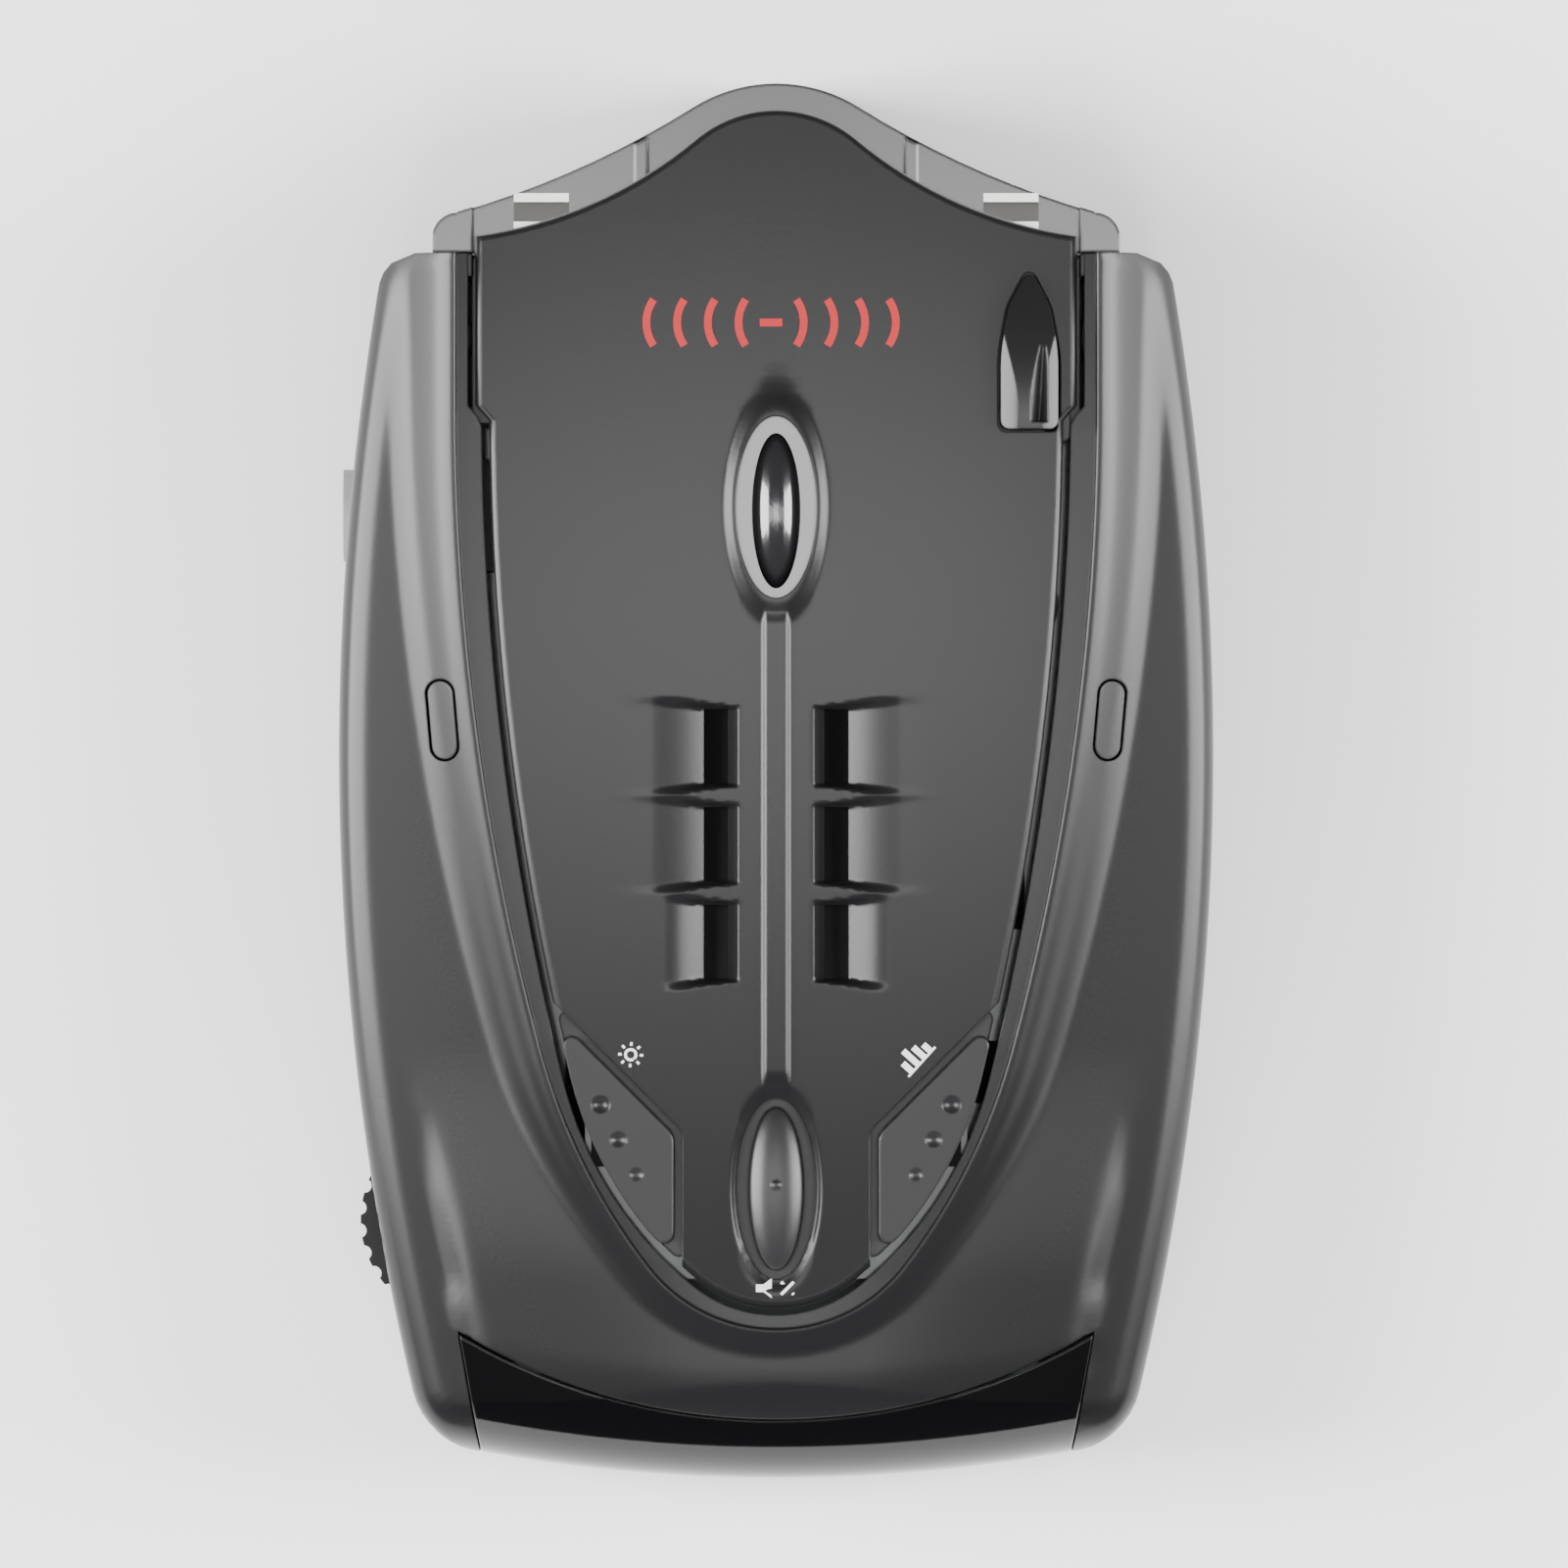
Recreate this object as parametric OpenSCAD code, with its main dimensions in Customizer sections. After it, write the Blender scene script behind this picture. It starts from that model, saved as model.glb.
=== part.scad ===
// Dash-mounted radar detector: an open two-shell case with a drop-shaped centre panel, keys,
// thumbwheel, release button, display window, glossy nose and the working parts inside.
// +X is the right-hand side, +Y points to the windscreen, +Z is up, units are mm.

/* [Case] */
// widest point of the case, side to side
case_w = 70; // [56:1:84]
// overall length, display end to nose tip
case_len = 111.8; // [100:0.1:134]
// height of the shell joint above the desk
joint_z = 15; // [14:0.1:18]
// height of the hood crown above the shell joint
hood_rise = 12.4; // [11:0.1:15]
// wall thickness of the mouldings
wall = 1.8; // [1.5:0.1:2.2]
// radius of the long bowed flanks, seen from above
side_r = 222; // [160:1:400]
// radius of the bowed display end, seen from above
rear_r = 130; // [90:1:300]
// radius rolled onto the top edge of the flanks
edge_r = 3; // [2:0.1:4]
// radius rolled onto the top edge of the display end
rear_roll = 9; // [6:0.1:10]
// fall of the whole top toward the driver, degrees
top_tilt = 1.6; // [0:0.1:3]
// slope of the wings toward the flanks, degrees
wing_slope = 12; // [6:0.5:16]
// height of the rubber feet
foot_h = 0.8; // [0.5:0.1:1.5]

/* [Centre panel] */
// distance from the flank to the panel edge at the widest point
wing_w = 12.1; // [11:0.1:14]
// distance from the display end to the rear tip of the panel
panel_back = 13.9; // [12:0.1:18]
// distance from the nose tip back to the front tip of the panel
panel_front = 2.3; // [1.5:0.1:4]
// crown of the panel above the hood crown
panel_rise = 2.2; // [1.5:0.1:3]
// thickness of the panel plate
panel_t = 2; // [1.6:0.1:2.4]
// dark gap round the panel
panel_gap = 0.6; // [0.3:0.05:0.9]
// radius of the panel's rear tip
panel_tip_r = 10; // [8:0.1:12]
// drop of the strip beside the panel below its surface
strip_drop = 0.9; // [0.4:0.1:1.4]
// radius of the raised bead round the panel
bead_r = 1.3; // [1:0.05:1.6]

/* [Nose] */
// length of the glossy nose in front of the wings
nose_len = 13.7; // [12:0.1:16]
// half width of the nose
nose_half = 27.5; // [24:0.1:30]
// height of the nose deck
deck_z = 20.6; // [19.5:0.1:22]
// height of the bracket slot above the deck
slot_h = 2.4; // [2:0.1:3]
// depth of the bracket slot into the case
slot_deep = 12; // [8:0.5:13]

/* [Controls] */
// width of the oval openings
oval_w = 6.4; // [5:0.1:8]
// length of the oval openings
oval_l = 14.5; // [11:0.1:17]
// travel of the three keys
key_travel = 0.5; // [0.3:0.05:0.7]
// travel of the release button
release_travel = 1.2; // [0.8:0.1:1.4]
// running clearance round keys and moving parts
run_gap = 0.2; // [0.12:0.01:0.3]
// radius of the volume thumbwheel
wheel_r = 8; // [7:0.1:9]
// thickness of the volume thumbwheel
wheel_t = 2.4; // [2:0.1:2.8]
// number of grip teeth round the thumbwheel
wheel_teeth = 28; // [20:1:36]

/* [Sound outlet] */
// number of slot rows
slot_rows = 3; // [2:1:3]
// distance between slot rows
slot_pitch = 7.8; // [7:0.1:9]
// length of each slot
slot_l = 5.9; // [4.5:0.1:6.5]
// width of each slot
slot_w = 1.9; // [1.4:0.1:2.4]
// radius of the loudspeaker
speaker_r = 14; // [11:0.5:15]

/* [Display and power] */
// half width of the display window at the display end
window_half = 23.2; // [18:0.1:25]
// height of the lower edge of the window
window_z = 4.5; // [3.5:0.1:7]
// bore of the power socket
jack_bore = 5.6; // [5:0.1:6.5]
// diameter of the centre pin of the power socket
jack_pin = 2.1; // [1.6:0.1:2.5]

/* [Hidden] */
$fn = 96;
fine = 360;
eps = 0.01;
far = 200;
half_w = case_w / 2;
rear_y = -case_len / 2;
nose_y = case_len / 2;
wing_y = nose_y - nose_len;
side_y = rear_y + 57.9;
base_z = foot_h;
floor_z = base_z + wall;
hood_z = joint_z + hood_rise;
panel_z0 = hood_z + panel_rise;
hood_r = 200;
panel_len_r = 700;
panel_cross_r = 260;
bead_z = panel_z0 - 1.1;
panel_half = half_w - wing_w;
panel_tip_y = rear_y + panel_back;
panel_front_y = nose_y - panel_front;
panel_turn_y = wing_y - 12.2;
notch_y = wing_y - 13.4;
front_half = panel_half + 1.1;
// [half width, rear tip, end of the curve, tip radius, first joint angle, second joint angle]
panel_drop = [panel_half, panel_tip_y, panel_turn_y, panel_tip_r, 39.6, 76.2];
lip_drop = [panel_half + 2.65, panel_tip_y - 1.7, panel_turn_y, panel_tip_r + 2.8, 52.1, 75];
// [inner offset, outer offset, depth below the crest] of each step of the bead
bead_steps = [[0, 2.3 * bead_r, 1.3], [0, 2.05 * bead_r, 0.7],
    [0.15, 1.7 * bead_r, 0.3], [0.5, 1.35 * bead_r, 0]];
strip_outline = [lip_drop[0], lip_drop[1], lip_drop[2] - 0.7, lip_drop[3], 51, 74];
board_z = floor_z + 2.4;
board_t = 1.6;
board_top = board_z + board_t;
jack_y = wing_y - 20.8;
jack_z = board_top + 4;
jack_x = -half_w + 0.2;
jack_wall_x = -flank_x(jack_y);
wheel_y = rear_y + 20.8;
wheel_x = -flank_x(wheel_y) - 1.45 + wheel_r;
wheel_z = joint_z + 0.4;
laser_y = wing_y - 20.3;
mute_y = rear_y + 23.4;
key_in = 8.2;
key_x = 12.6;
key_y = rear_y + 27.3;
speaker_y = rear_y + 50.9;
slot_x = 4.8;
plug_x = half_w - 8.35;
plug_y = rear_y + 60.8;
release_x = front_half - 3.8;
release_y = wing_y - 14.1;
key_fall = -asin(key_y / panel_len_r);
release_w = 4.6;
release_l = 13;
key_board_z = panel_z0 - 9.8;
key_board_t = 1.2;
switch_top = key_board_z + key_board_t + 2;
speaker_top = panel_z0 - 3.7;
pocket_back = wing_y - slot_deep;
roof_z = deck_z + slot_h;
rear_boss_y = rear_y + 34.9;
front_boss_y = wing_y - 6.5;
boss_r = 3;
screw_r = 1.25;
ink = [0.14, 0.14, 0.15];

// Half width of the case at a distance y along it.
function flank_x(y) = half_w - side_r + sqrt(side_r * side_r - (y - side_y) * (y - side_y));

// Height of the panel surface over a point.
function panel_z(x, y) = panel_z0 - x * x / (2 * panel_cross_r) - y * y / (2 * panel_len_r)
    + y * sin(top_tilt);

// The two larger radii that carry a drop outline from its tip to its widest point.
function drop_radii(k) =
    let (s1 = sin(k[4]), c1 = cos(k[4]), s2 = sin(k[5]), c2 = cos(k[5]))
    let (a = k[0] - k[3] * s1, b = k[2] - k[1] - k[3] + k[3] * c1)
    let (det = (s2 - s1) * c2 - (1 - s2) * (c1 - c2))
    [(a * c2 - (1 - s2) * b) / det, ((s2 - s1) * b - (c1 - c2) * a) / det];

// Centres of the three arcs of a drop outline.
function drop_centres(k) =
    let (r = drop_radii(k), c1 = [0, k[1] + k[3]])
    let (c2 = c1 + (k[3] - r[0]) * [sin(k[4]), -cos(k[4])])
    [c1, c2, c2 + (r[0] - r[1]) * [sin(k[5]), -cos(k[5])]];

function on_arc(c, r, t) = c + r * [sin(t), -cos(t)];

// Corner points of a closed outline, each rounded by its own radius: p is a list of [x, y, r].
function rounded(p, steps = 6) = [
    for (i = [0:len(p) - 1])
        let (a = p[(i + len(p) - 1) % len(p)], b = p[i], c = p[(i + 1) % len(p)])
        let (u = unit([a[0] - b[0], a[1] - b[1]]), v = unit([c[0] - b[0], c[1] - b[1]]))
        let (half = acos(max(-1, min(1, u * v))) / 2)
        let (r = b[2], d = r / max(0.01, tan(half)), m = unit(u + v))
        let (o = [b[0], b[1]] + m * (r / max(0.01, sin(half))))
        let (pa = [b[0], b[1]] + u * d - o, pc = [b[0], b[1]] + v * d - o)
        let (aa = atan2(pa[1], pa[0]), turn = angle_to(pa, pc))
        for (s = [0:(r > 0 ? steps : 0)])
            r > 0 ? o + r * [cos(aa + turn * s / steps), sin(aa + turn * s / steps)] : [b[0], b[1]]
];

function unit(v) = v / max(1e-9, norm(v));

function angle_to(a, b) =
    let (t = atan2(a[0] * b[1] - a[1] * b[0], a * b))
    t;

// ---- outlines -------------------------------------------------------------------------------

// Right-hand side of a drop outline grown by d, from the rear tip to its widest point.
function drop_side(k, d, steps = 9) =
    let (r = drop_radii(k), c = drop_centres(k))
    concat(
        [for (i = [0:steps]) on_arc(c[0], k[3] + d, k[4] * i / steps)],
        [for (i = [1:steps]) on_arc(c[1], r[0] + d, k[4] + (k[5] - k[4]) * i / steps)],
        [for (i = [1:steps]) on_arc(c[2], r[1] + d, k[5] + (90 - k[5]) * i / steps)]
    );

// Right-hand side of a bow-shaped front grown by d, from its outer end to the tip.
function bow_side(tip_y, tip_r, flare_r, lean, half, d, steps = 9) =
    let (c1 = [0, tip_y - tip_r], c2 = c1 + (tip_r + flare_r) * [sin(lean), cos(lean)])
    let (start = asin((c2[0] - half - d) / (flare_r - d)))
    concat(
        [for (i = [0:steps])
            let (a = start + (lean - start) * i / steps)
                c2 - (flare_r - d) * [sin(a), cos(a)]],
        [for (i = [1:steps])
            let (a = lean * (1 - i / steps))
                c1 + (tip_r + d) * [sin(a), cos(a)]]
    );

// Both halves of an outline from the points of its right-hand side.
module mirrored_outline(p) {
    n = len(p);
    polygon(concat(p, [for (i = [1:n]) [-p[n - i][0], p[n - i][1]]]));
}

// Drop outline grown by d and closed by a straight edge at y = top.
module drop_2d(k, d, top) {
    mirrored_outline(concat(drop_side(k, d), [[k[0] + d, top]]));
}

// Bow-shaped front closed by a straight edge at base_y, grown by d.
module bow_2d(tip_y, tip_r, flare_r, lean, half, base_y, d) {
    mirrored_outline(concat([[half + d, base_y]], bow_side(tip_y, tip_r, flare_r, lean, half, d)));
}

module nose_2d(d, base_y) {
    r = 2;
    bow_2d(nose_y, 12.5, 75, 32, nose_half - r, base_y, d);
    translate([-nose_half - d, base_y])
        square([2 * (nose_half + d), wing_y + 1.28 - base_y]);
    for (side = [-1, 1])
        intersection() {
            translate([side * (nose_half - r), wing_y + 1.28])
                circle(r + d);
            translate([-far / 2, base_y])
                square([far, nose_len]);
        }
}

module panel_2d(d) {
    mirrored_outline(concat(
        [for (q = drop_side(panel_drop, d)) if (q[1] < notch_y - 2) q],
        [[panel_half + d, notch_y], [front_half + d, panel_turn_y]],
        bow_side(panel_front_y, 10, 34, 40, front_half, d)
    ));
}

module oval_2d(w, l) {
    scale([w / l, 1])
        circle(l / 2);
}

// Reach of the panel outline, grown by out, at a distance y along its flank.
function panel_reach(y, out) =
    let (r = drop_radii(panel_drop), c = drop_centres(panel_drop))
    c[2][0] + sqrt((r[1] + out) * (r[1] + out) - (y - c[2][1]) * (y - c[2][1]));

// Corner key outline: d grows its straight inner sides, out grows its bowed outer side.
function key_points(d, out) =
    let (r = drop_radii(panel_drop), c = drop_centres(panel_drop), b = panel_tip_y + 5.6 + 1.414 * d)
    let (x0 = key_in - d, t0 = asin((x0 - c[1][0]) / (r[0] + out)), n = 10)
    let (x1 = panel_reach(17.5 + b, out), x2 = panel_reach(x1 + b, out))
    concat(
        [concat(on_arc(c[1], r[0] + out, t0), [0.8])],
        [for (i = [0:n]) concat(on_arc(c[1], r[0] + out, t0 + 5.5 + (70.5 - t0) * i / n), [0])],
        [[x2, x2 + b, 0.7], [x0, x0 + b, 1.4]]
    );

module key_2d(side, d, out) {
    mirror([side < 0 ? 1 : 0, 0])
        polygon(rounded(key_points(d, out)));
}

module release_2d(d) {
    w = release_w / 2 + d;
    shoulder = release_y + release_l - 3.2;
    polygon(rounded([
        [release_x, release_y + release_l + d, 0.6],
        [release_x - w * 0.72, shoulder, 4],
        [release_x - w, release_y + 6, 12],
        [release_x - w, release_y - d, 0.7],
        [release_x + w, release_y - d, 0.7],
        [release_x + w, release_y + 6, 12],
        [release_x + w * 0.72, shoulder, 4]
    ], 5));
}

// ---- solids shared by the shells ------------------------------------------------------------

// Tips a part of the top about a height z, so the whole top falls toward the driver.
module tipped(z) {
    translate([0, 0, z])
        rotate([top_tilt, 0, 0])
            translate([0, 0, -z])
                children();
}

// Solid below a doubly curved crown of height z at its middle, lowered by d.
module crown(z, len_r, cross_r, d) {
    span = 2 * asin((case_len / 2 + 12) / len_r);
    tipped(z)
        translate([0, 0, z - len_r])
            rotate([0, -90, 0])
                rotate(-span / 2)
                    rotate_extrude(angle = span, $fn = 3 * fine)
                        intersection() {
                            translate([len_r - cross_r, 0])
                                circle(cross_r - d, $fn = 3 * fine);
                            translate([len_r - 40 - 3 * d, -60 - d])
                                square([41 + 3 * d, 120 + 2 * d]);
                        }
}

// Barrel that caps the hood, lowered by d.
module hood_cap(d) {
    tipped(joint_z)
        translate([0, -far / 2, hood_z - hood_r])
            rotate([-90, 0, 0])
                cylinder(r = hood_r - d, h = far, $fn = 2 * fine);
}

// Flank disc: the rim is rolled over and the top rises inward at the wing slope.
module flank_disc(side, d, low, tip) {
    r = max(0.6, edge_r - d);
    c = [side_r - d - r, hood_z - 6.03 - d + (edge_r - r)];
    t = c + r * [sin(wing_slope), cos(wing_slope)];
    depth = half_w * 2 + 12;
    translate([side * (half_w - side_r), side_y, 0])
        tipped_if(tip)
            rotate(side > 0 ? -40 : 140)
                rotate_extrude(angle = 80, $fn = 4 * fine) {
                    polygon([[side_r - depth, low], [side_r - d, low], [side_r - d, c[1]], t,
                        [side_r - depth, t[1] + (t[0] - side_r + depth) * tan(wing_slope)]]);
                    intersection() {
                        translate(c)
                            circle(r);
                        translate([c[0], c[1]])
                            square(r);
                    }
                }
}

module tipped_if(tip) {
    if (tip)
        translate([0, -side_y, 0])
            tipped(joint_z)
                translate([0, side_y, 0])
                    children();
    else
        children();
}

// Display end: a bowed wall with a rolled top edge, set in by d.
module rear_disc(d, low, high, roll) {
    r = max(1, roll - d);
    z = hood_z + (rear_y + roll) * sin(top_tilt) + 0.05 - d;
    translate([0, rear_y + rear_r, 0])
        rotate(-170)
            rotate_extrude(angle = 160, $fn = 2 * fine) {
                polygon([[20, low], [rear_r - d, low], [rear_r - d, z - r], [rear_r - d - r, z - r],
                    [rear_r - d - r, high], [20, high]]);
                intersection() {
                    translate([rear_r - d - r, z - r])
                        circle(r);
                    translate([rear_r - d - r, z - r])
                        square(r);
                }
            }
}

// Everything inside the rounded case outline of the upper shell, set in by d.
module upper_body(d) {
    intersection() {
        flank_disc(1, d, joint_z - 6, true);
        flank_disc(-1, d, joint_z - 6, true);
        rear_disc(d, joint_z - 6, 60, rear_roll);
        hood_cap(d);
        translate([-far / 2, -far / 2, joint_z - 5])
            cube([far, far / 2 + wing_y - d, 60]);
    }
}

// Lower shell block: plain flanks with a rounded bottom edge, set in by d.
module lower_body(d, low, high) {
    r = max(0.7, 2.5 - d);
    intersection() {
        flank_low(1, d, low, high, r);
        flank_low(-1, d, low, high, r);
        translate([0, rear_y + rear_r, 0])
            rotate(-170)
                rotate_extrude(angle = 160, $fn = 2 * fine)
                    foot_section(rear_r - d, 20, low, high, r);
        translate([-far / 2, -far / 2, low - 1])
            cube([far, far / 2 + wing_y - d, high - low + 2]);
    }
}

module flank_low(side, d, low, high, r) {
    translate([side * (half_w - side_r), side_y, 0])
        rotate(side > 0 ? -40 : 140)
            rotate_extrude(angle = 80, $fn = 4 * fine)
                foot_section(side_r - d, side_r - case_w - 12, low, high, r);
}

module foot_section(outer, inner, low, high, r) {
    polygon([[inner, low], [outer - r, low], [outer - r, low + r], [outer, low + r], [outer, high],
        [inner, high]]);
    intersection() {
        translate([outer - r, low + r])
            circle(r);
        translate([outer - r, low])
            square(r);
    }
}

// Plan of the display window: slanted ends and an arched upper edge, grown by d.
module window_2d(d) {
    top_r = 50;
    y0 = rear_y + 4.8;
    difference() {
        polygon([[-window_half - 2.15 - d, rear_y + 11.9 + d], [-window_half + 0.35 - d, rear_y - 2],
            [window_half - 0.35 + d, rear_y - 2], [window_half + 2.15 + d, rear_y + 11.9 + d]]);
        translate([0, y0 + top_r])
            circle(top_r - d, $fn = fine);
    }
}

// Raised bead that follows the lip outline, stepped in from a broad foot to a narrow crest.
module bead_ring() {
    difference() {
        for (step = bead_steps)
            translate([0, 0, joint_z + 7])
                linear_extrude(bead_z - joint_z - 7 - step[2])
                    drop_2d(lip_drop, step[1], wing_y - 0.6);
        for (step = bead_steps)
            translate([0, 0, step[0] > 0 ? bead_z - step[2] - 0.35 : joint_z])
                linear_extrude(30)
                    drop_2d(lip_drop, step[0], wing_y + 2);
    }
}

module at_bosses() {
    for (side = [-1, 1]) {
        translate([side * (flank_x(rear_boss_y) - 5.3), rear_boss_y, 0])
            children();
        translate([side * (flank_x(front_boss_y) - 5), front_boss_y, 0])
            children();
    }
}

// ---- shells ---------------------------------------------------------------------------------

module lower_shell() {
    color(ink)
        difference() {
            union() {
                difference() {
                    lower_body(0, base_z, joint_z);
                    lower_body(wall, floor_z, joint_z + 1);
                    translate([-nose_half + 3, wing_y - wall - 1, floor_z])
                        cube([2 * nose_half - 6, wall + 2, joint_z]);
                }
                intersection() {
                    lower_body(wall - eps, base_z, joint_z - 0.2);
                    at_bosses()
                        translate([0, 0, base_z + 0.6])
                            cylinder(r = boss_r, h = joint_z - base_z - 0.8);
                }
                for (p = board_posts())
                    translate([p[0], p[1], base_z + 0.5])
                        cylinder(r = 2.2, h = board_z - base_z - 0.5);
                for (i = [-3:3])
                    translate([i * 7 - 0.5, rear_y + 16, floor_z - 0.3])
                        cube([1, 24, 1]);
            }
            translate([0, 0, window_z])
                linear_extrude(joint_z)
                    window_2d(0.12);
            at_bosses() {
                translate([0, 0, base_z - 1])
                    cylinder(r = 2.5, h = 3.8);
                translate([0, 0, base_z])
                    cylinder(r = screw_r + 0.15, h = joint_z);
            }
            for (p = board_posts())
                translate([p[0], p[1], base_z + 1.4])
                    cylinder(r = 0.8, h = board_z);
            translate([-half_w - 2, jack_y, jack_z])
                rotate([0, 90, 0])
                    cylinder(r = jack_bore / 2 + 1.05, h = half_w + jack_wall_x + 2 + wall + 2.5);
            for (p = foot_places())
                translate([p[0], p[1], base_z - 1])
                    cylinder(r = 4.2, h = 1.5);
            for (i = [-4:4])
                translate([i * 3.4 - 0.6, side_y - 6, base_z - 1])
                    cube([1.2, 12, wall + 2]);
        }
}

function board_posts() = [[-17, rear_y + 18.5], [17, rear_y + 18.5], [-21, wing_y - 8], [21, wing_y - 8]];

function foot_places() = [
    for (sx = [-1, 1], sy = [0, 1])
        [sx * (flank_x(sy == 0 ? rear_y + 14 : wing_y - 16) - 9), sy == 0 ? rear_y + 14 : wing_y - 16]
];

module upper_shell() {
    color(ink)
        difference() {
            union() {
                upper_body(0);
                intersection() {
                    union() {
                        tipped(bead_z)
                            bead_ring();
                        intersection() {
                            crown(panel_z0, panel_len_r, panel_cross_r, strip_drop);
                            translate([0, 0, joint_z + 8])
                                linear_extrude(40)
                                    drop_2d(strip_outline, 0.4, wing_y);
                        }
                    }
                    translate([-far / 2, rear_y + 1, joint_z])
                        cube([far, wing_y - rear_y - 1, 60]);
                }
            }
            difference() {
                upper_body(wall);
                at_bosses()
                    cylinder(r = boss_r, h = 60);
                translate([-nose_half + 1.2, pocket_back - wall, deck_z - 1.6])
                    cube([2 * nose_half - 2.4, slot_deep + wall + 1, slot_h + 3.2]);
            }
            translate([-far / 2, -far / 2, joint_z - 10])
                cube([far, far, 10]);
            // bracket pocket, opening through the front wall
            translate([-nose_half + 3.2, pocket_back, deck_z])
                cube([2 * nose_half - 6.4, slot_deep + 2, slot_h]);
            // way through for the horn, below the pocket floor
            translate([-nose_half + 3, wing_y - wall - 1, joint_z - 1])
                cube([2 * nose_half - 6, wall + 2, deck_z - joint_z + 1 - 1.6]);
            // seat of the centre panel and the opening below it
            difference() {
                translate([0, 0, joint_z])
                    linear_extrude(60)
                        panel_2d(panel_gap);
                difference() {
                    crown(panel_z0, panel_len_r, panel_cross_r, panel_t + 0.06);
                    translate([0, 0, joint_z - 1])
                        linear_extrude(60)
                            intersection() {
                                drop_2d(panel_drop, -2.1, notch_y);
                                translate([-far / 2, rear_y])
                                    square([far, pocket_back - wall - rear_y]);
                            }
                    for (side = [-1, 1])
                        translate([0, 0, joint_z - 1])
                            linear_extrude(60)
                                key_2d(side, 1.5, 0.2);
                }
            }
            // room under the panel for the release key and the lens of the laser window
            translate([0, 0, roof_z + 1.6])
                linear_extrude(20)
                    release_2d(1.25);
            translate([0, laser_y, panel_z0 - 4])
                linear_extrude(20)
                    oval_2d(oval_w + 2, oval_l + 2);
            translate([0, mute_y, joint_z])
                linear_extrude(20)
                    oval_2d(oval_w + 2.2, oval_l + 2.2);
            // shaft for the release hook through roof and floor of the pocket
            translate([release_x - 1.5, release_y + 4.5, deck_z - 3])
                cube([3, 3.8, 7.4]);
            // window opening
            translate([0, 0, joint_z - 1])
                linear_extrude(60)
                    window_2d(0.12);
            translate([wheel_x, wheel_y, joint_z - 1])
                cylinder(r = wheel_r + 0.45, h = wheel_t + 1.9);
            at_bosses()
                translate([0, 0, joint_z - 1])
                        cylinder(r = screw_r + 0.05, h = 7);
            for (side = [-1, 1])
                translate([side * plug_x, plug_y, 0])
                    rotate(-5 * side)
                        plug_block(0.12, joint_z + 6);
        }
}

module plug_block(d, z) {
    translate([0, 0, z])
        linear_extrude(40)
            union() {
                for (e = [-1, 1])
                    translate([0, e * 2.1])
                        circle(1.05 + d);
                translate([-1.05 - d, -2.1])
                    square([2.1 + 2 * d, 4.2]);
            }
}

module side_plug(side) {
    color(ink)
        intersection() {
            translate([side * plug_x, plug_y, 0])
                rotate(-5 * side)
                    plug_block(0, hood_z - 4.2);
            union() {
                upper_body(-0.05);
                tipped(bead_z)
                    bead_ring();
            }
        }
}

module side_plug_left() {
    side_plug(-1);
}

module side_plug_right() {
    side_plug(1);
}

// ---- centre panel ---------------------------------------------------------------------------

module scoop(side, y) {
    z = panel_z(7, y);
    rise = 9.4;
    translate([0, y + slot_l / 2, z])
        rotate([90, 0, 0])
            linear_extrude(slot_l)
                mirror([side < 0 ? 1 : 0, 0])
                    polygon([[slot_x - slot_w / 2 - 1, 1], [slot_x - slot_w / 2 + 0.1, -1.3],
                        [slot_x + slot_w / 2 - 0.1, -1.3], [rise, 0.12], [rise, 1]]);
    translate([side * slot_x - slot_w / 2, y - slot_l / 2, z - 6])
        cube([slot_w, slot_l, 8]);
}

module centre_panel() {
    color(ink)
        difference() {
            union() {
                intersection() {
                    difference() {
                        crown(panel_z0, panel_len_r, panel_cross_r, 0);
                        crown(panel_z0, panel_len_r, panel_cross_r, panel_t);
                    }
                    translate([0, 0, joint_z])
                        linear_extrude(40)
                            panel_2d(0);
                }
                // front skirt that hangs down to the bracket slot
                intersection() {
                    crown(panel_z0, panel_len_r, panel_cross_r, 0.5);
                    translate([0, 0, roof_z])
                        linear_extrude(20)
                            difference() {
                                bow_2d(panel_front_y, 10, 34, 40, front_half, wing_y + 0.15, 0);
                                bow_2d(panel_front_y, 10, 34, 40, front_half, wing_y - 1, -1.7);
                            }
                }
                // spine between the ovals
                intersection() {
                    crown(panel_z0 + 0.4, panel_len_r, panel_cross_r, 0);
                    translate([-1, mute_y + oval_l / 2 + 0.6, panel_z0 - 1.6])
                        cube([2, laser_y - mute_y - oval_l - 1.2, 8]);
                }
                // raised rims round the ovals
                intersection() {
                    crown(panel_z0 + 0.3, panel_len_r, panel_cross_r, 0);
                    translate([0, laser_y, panel_z0 - 1.2])
                        linear_extrude(6)
                            oval_2d(oval_w + 1.3, oval_l + 2);
                }
                panel_posts();
                laser_posts();
                translate([0, speaker_y, 0])
                    speaker_seat();
            }
            translate([0, laser_y, joint_z])
                linear_extrude(40)
                    oval_2d(oval_w, oval_l);
            translate([0, mute_y, joint_z])
                linear_extrude(40)
                    oval_2d(oval_w, oval_l);
            for (side = [-1, 1]) {
                translate([0, 0, joint_z])
                    linear_extrude(40)
                        key_2d(side, 0.7, 3);
                for (i = [0:slot_rows - 1])
                    scoop(side, speaker_y + (slot_rows - 1) / 2 * slot_pitch - i * slot_pitch);
            }
            translate([0, 0, joint_z])
                linear_extrude(40)
                    release_2d(run_gap);
            for (p = concat(key_posts(), laser_post_places()))
                translate([p[0], p[1], key_board_z - 1])
                    cylinder(r = 0.7, h = 6);
            for (a = [45:90:315])
                translate([(speaker_r + 2.6) * cos(a), speaker_y + (speaker_r + 2.6) * sin(a), panel_z0 - 6])
                    cylinder(r = 0.7, h = 3.4);
        }
}

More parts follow.
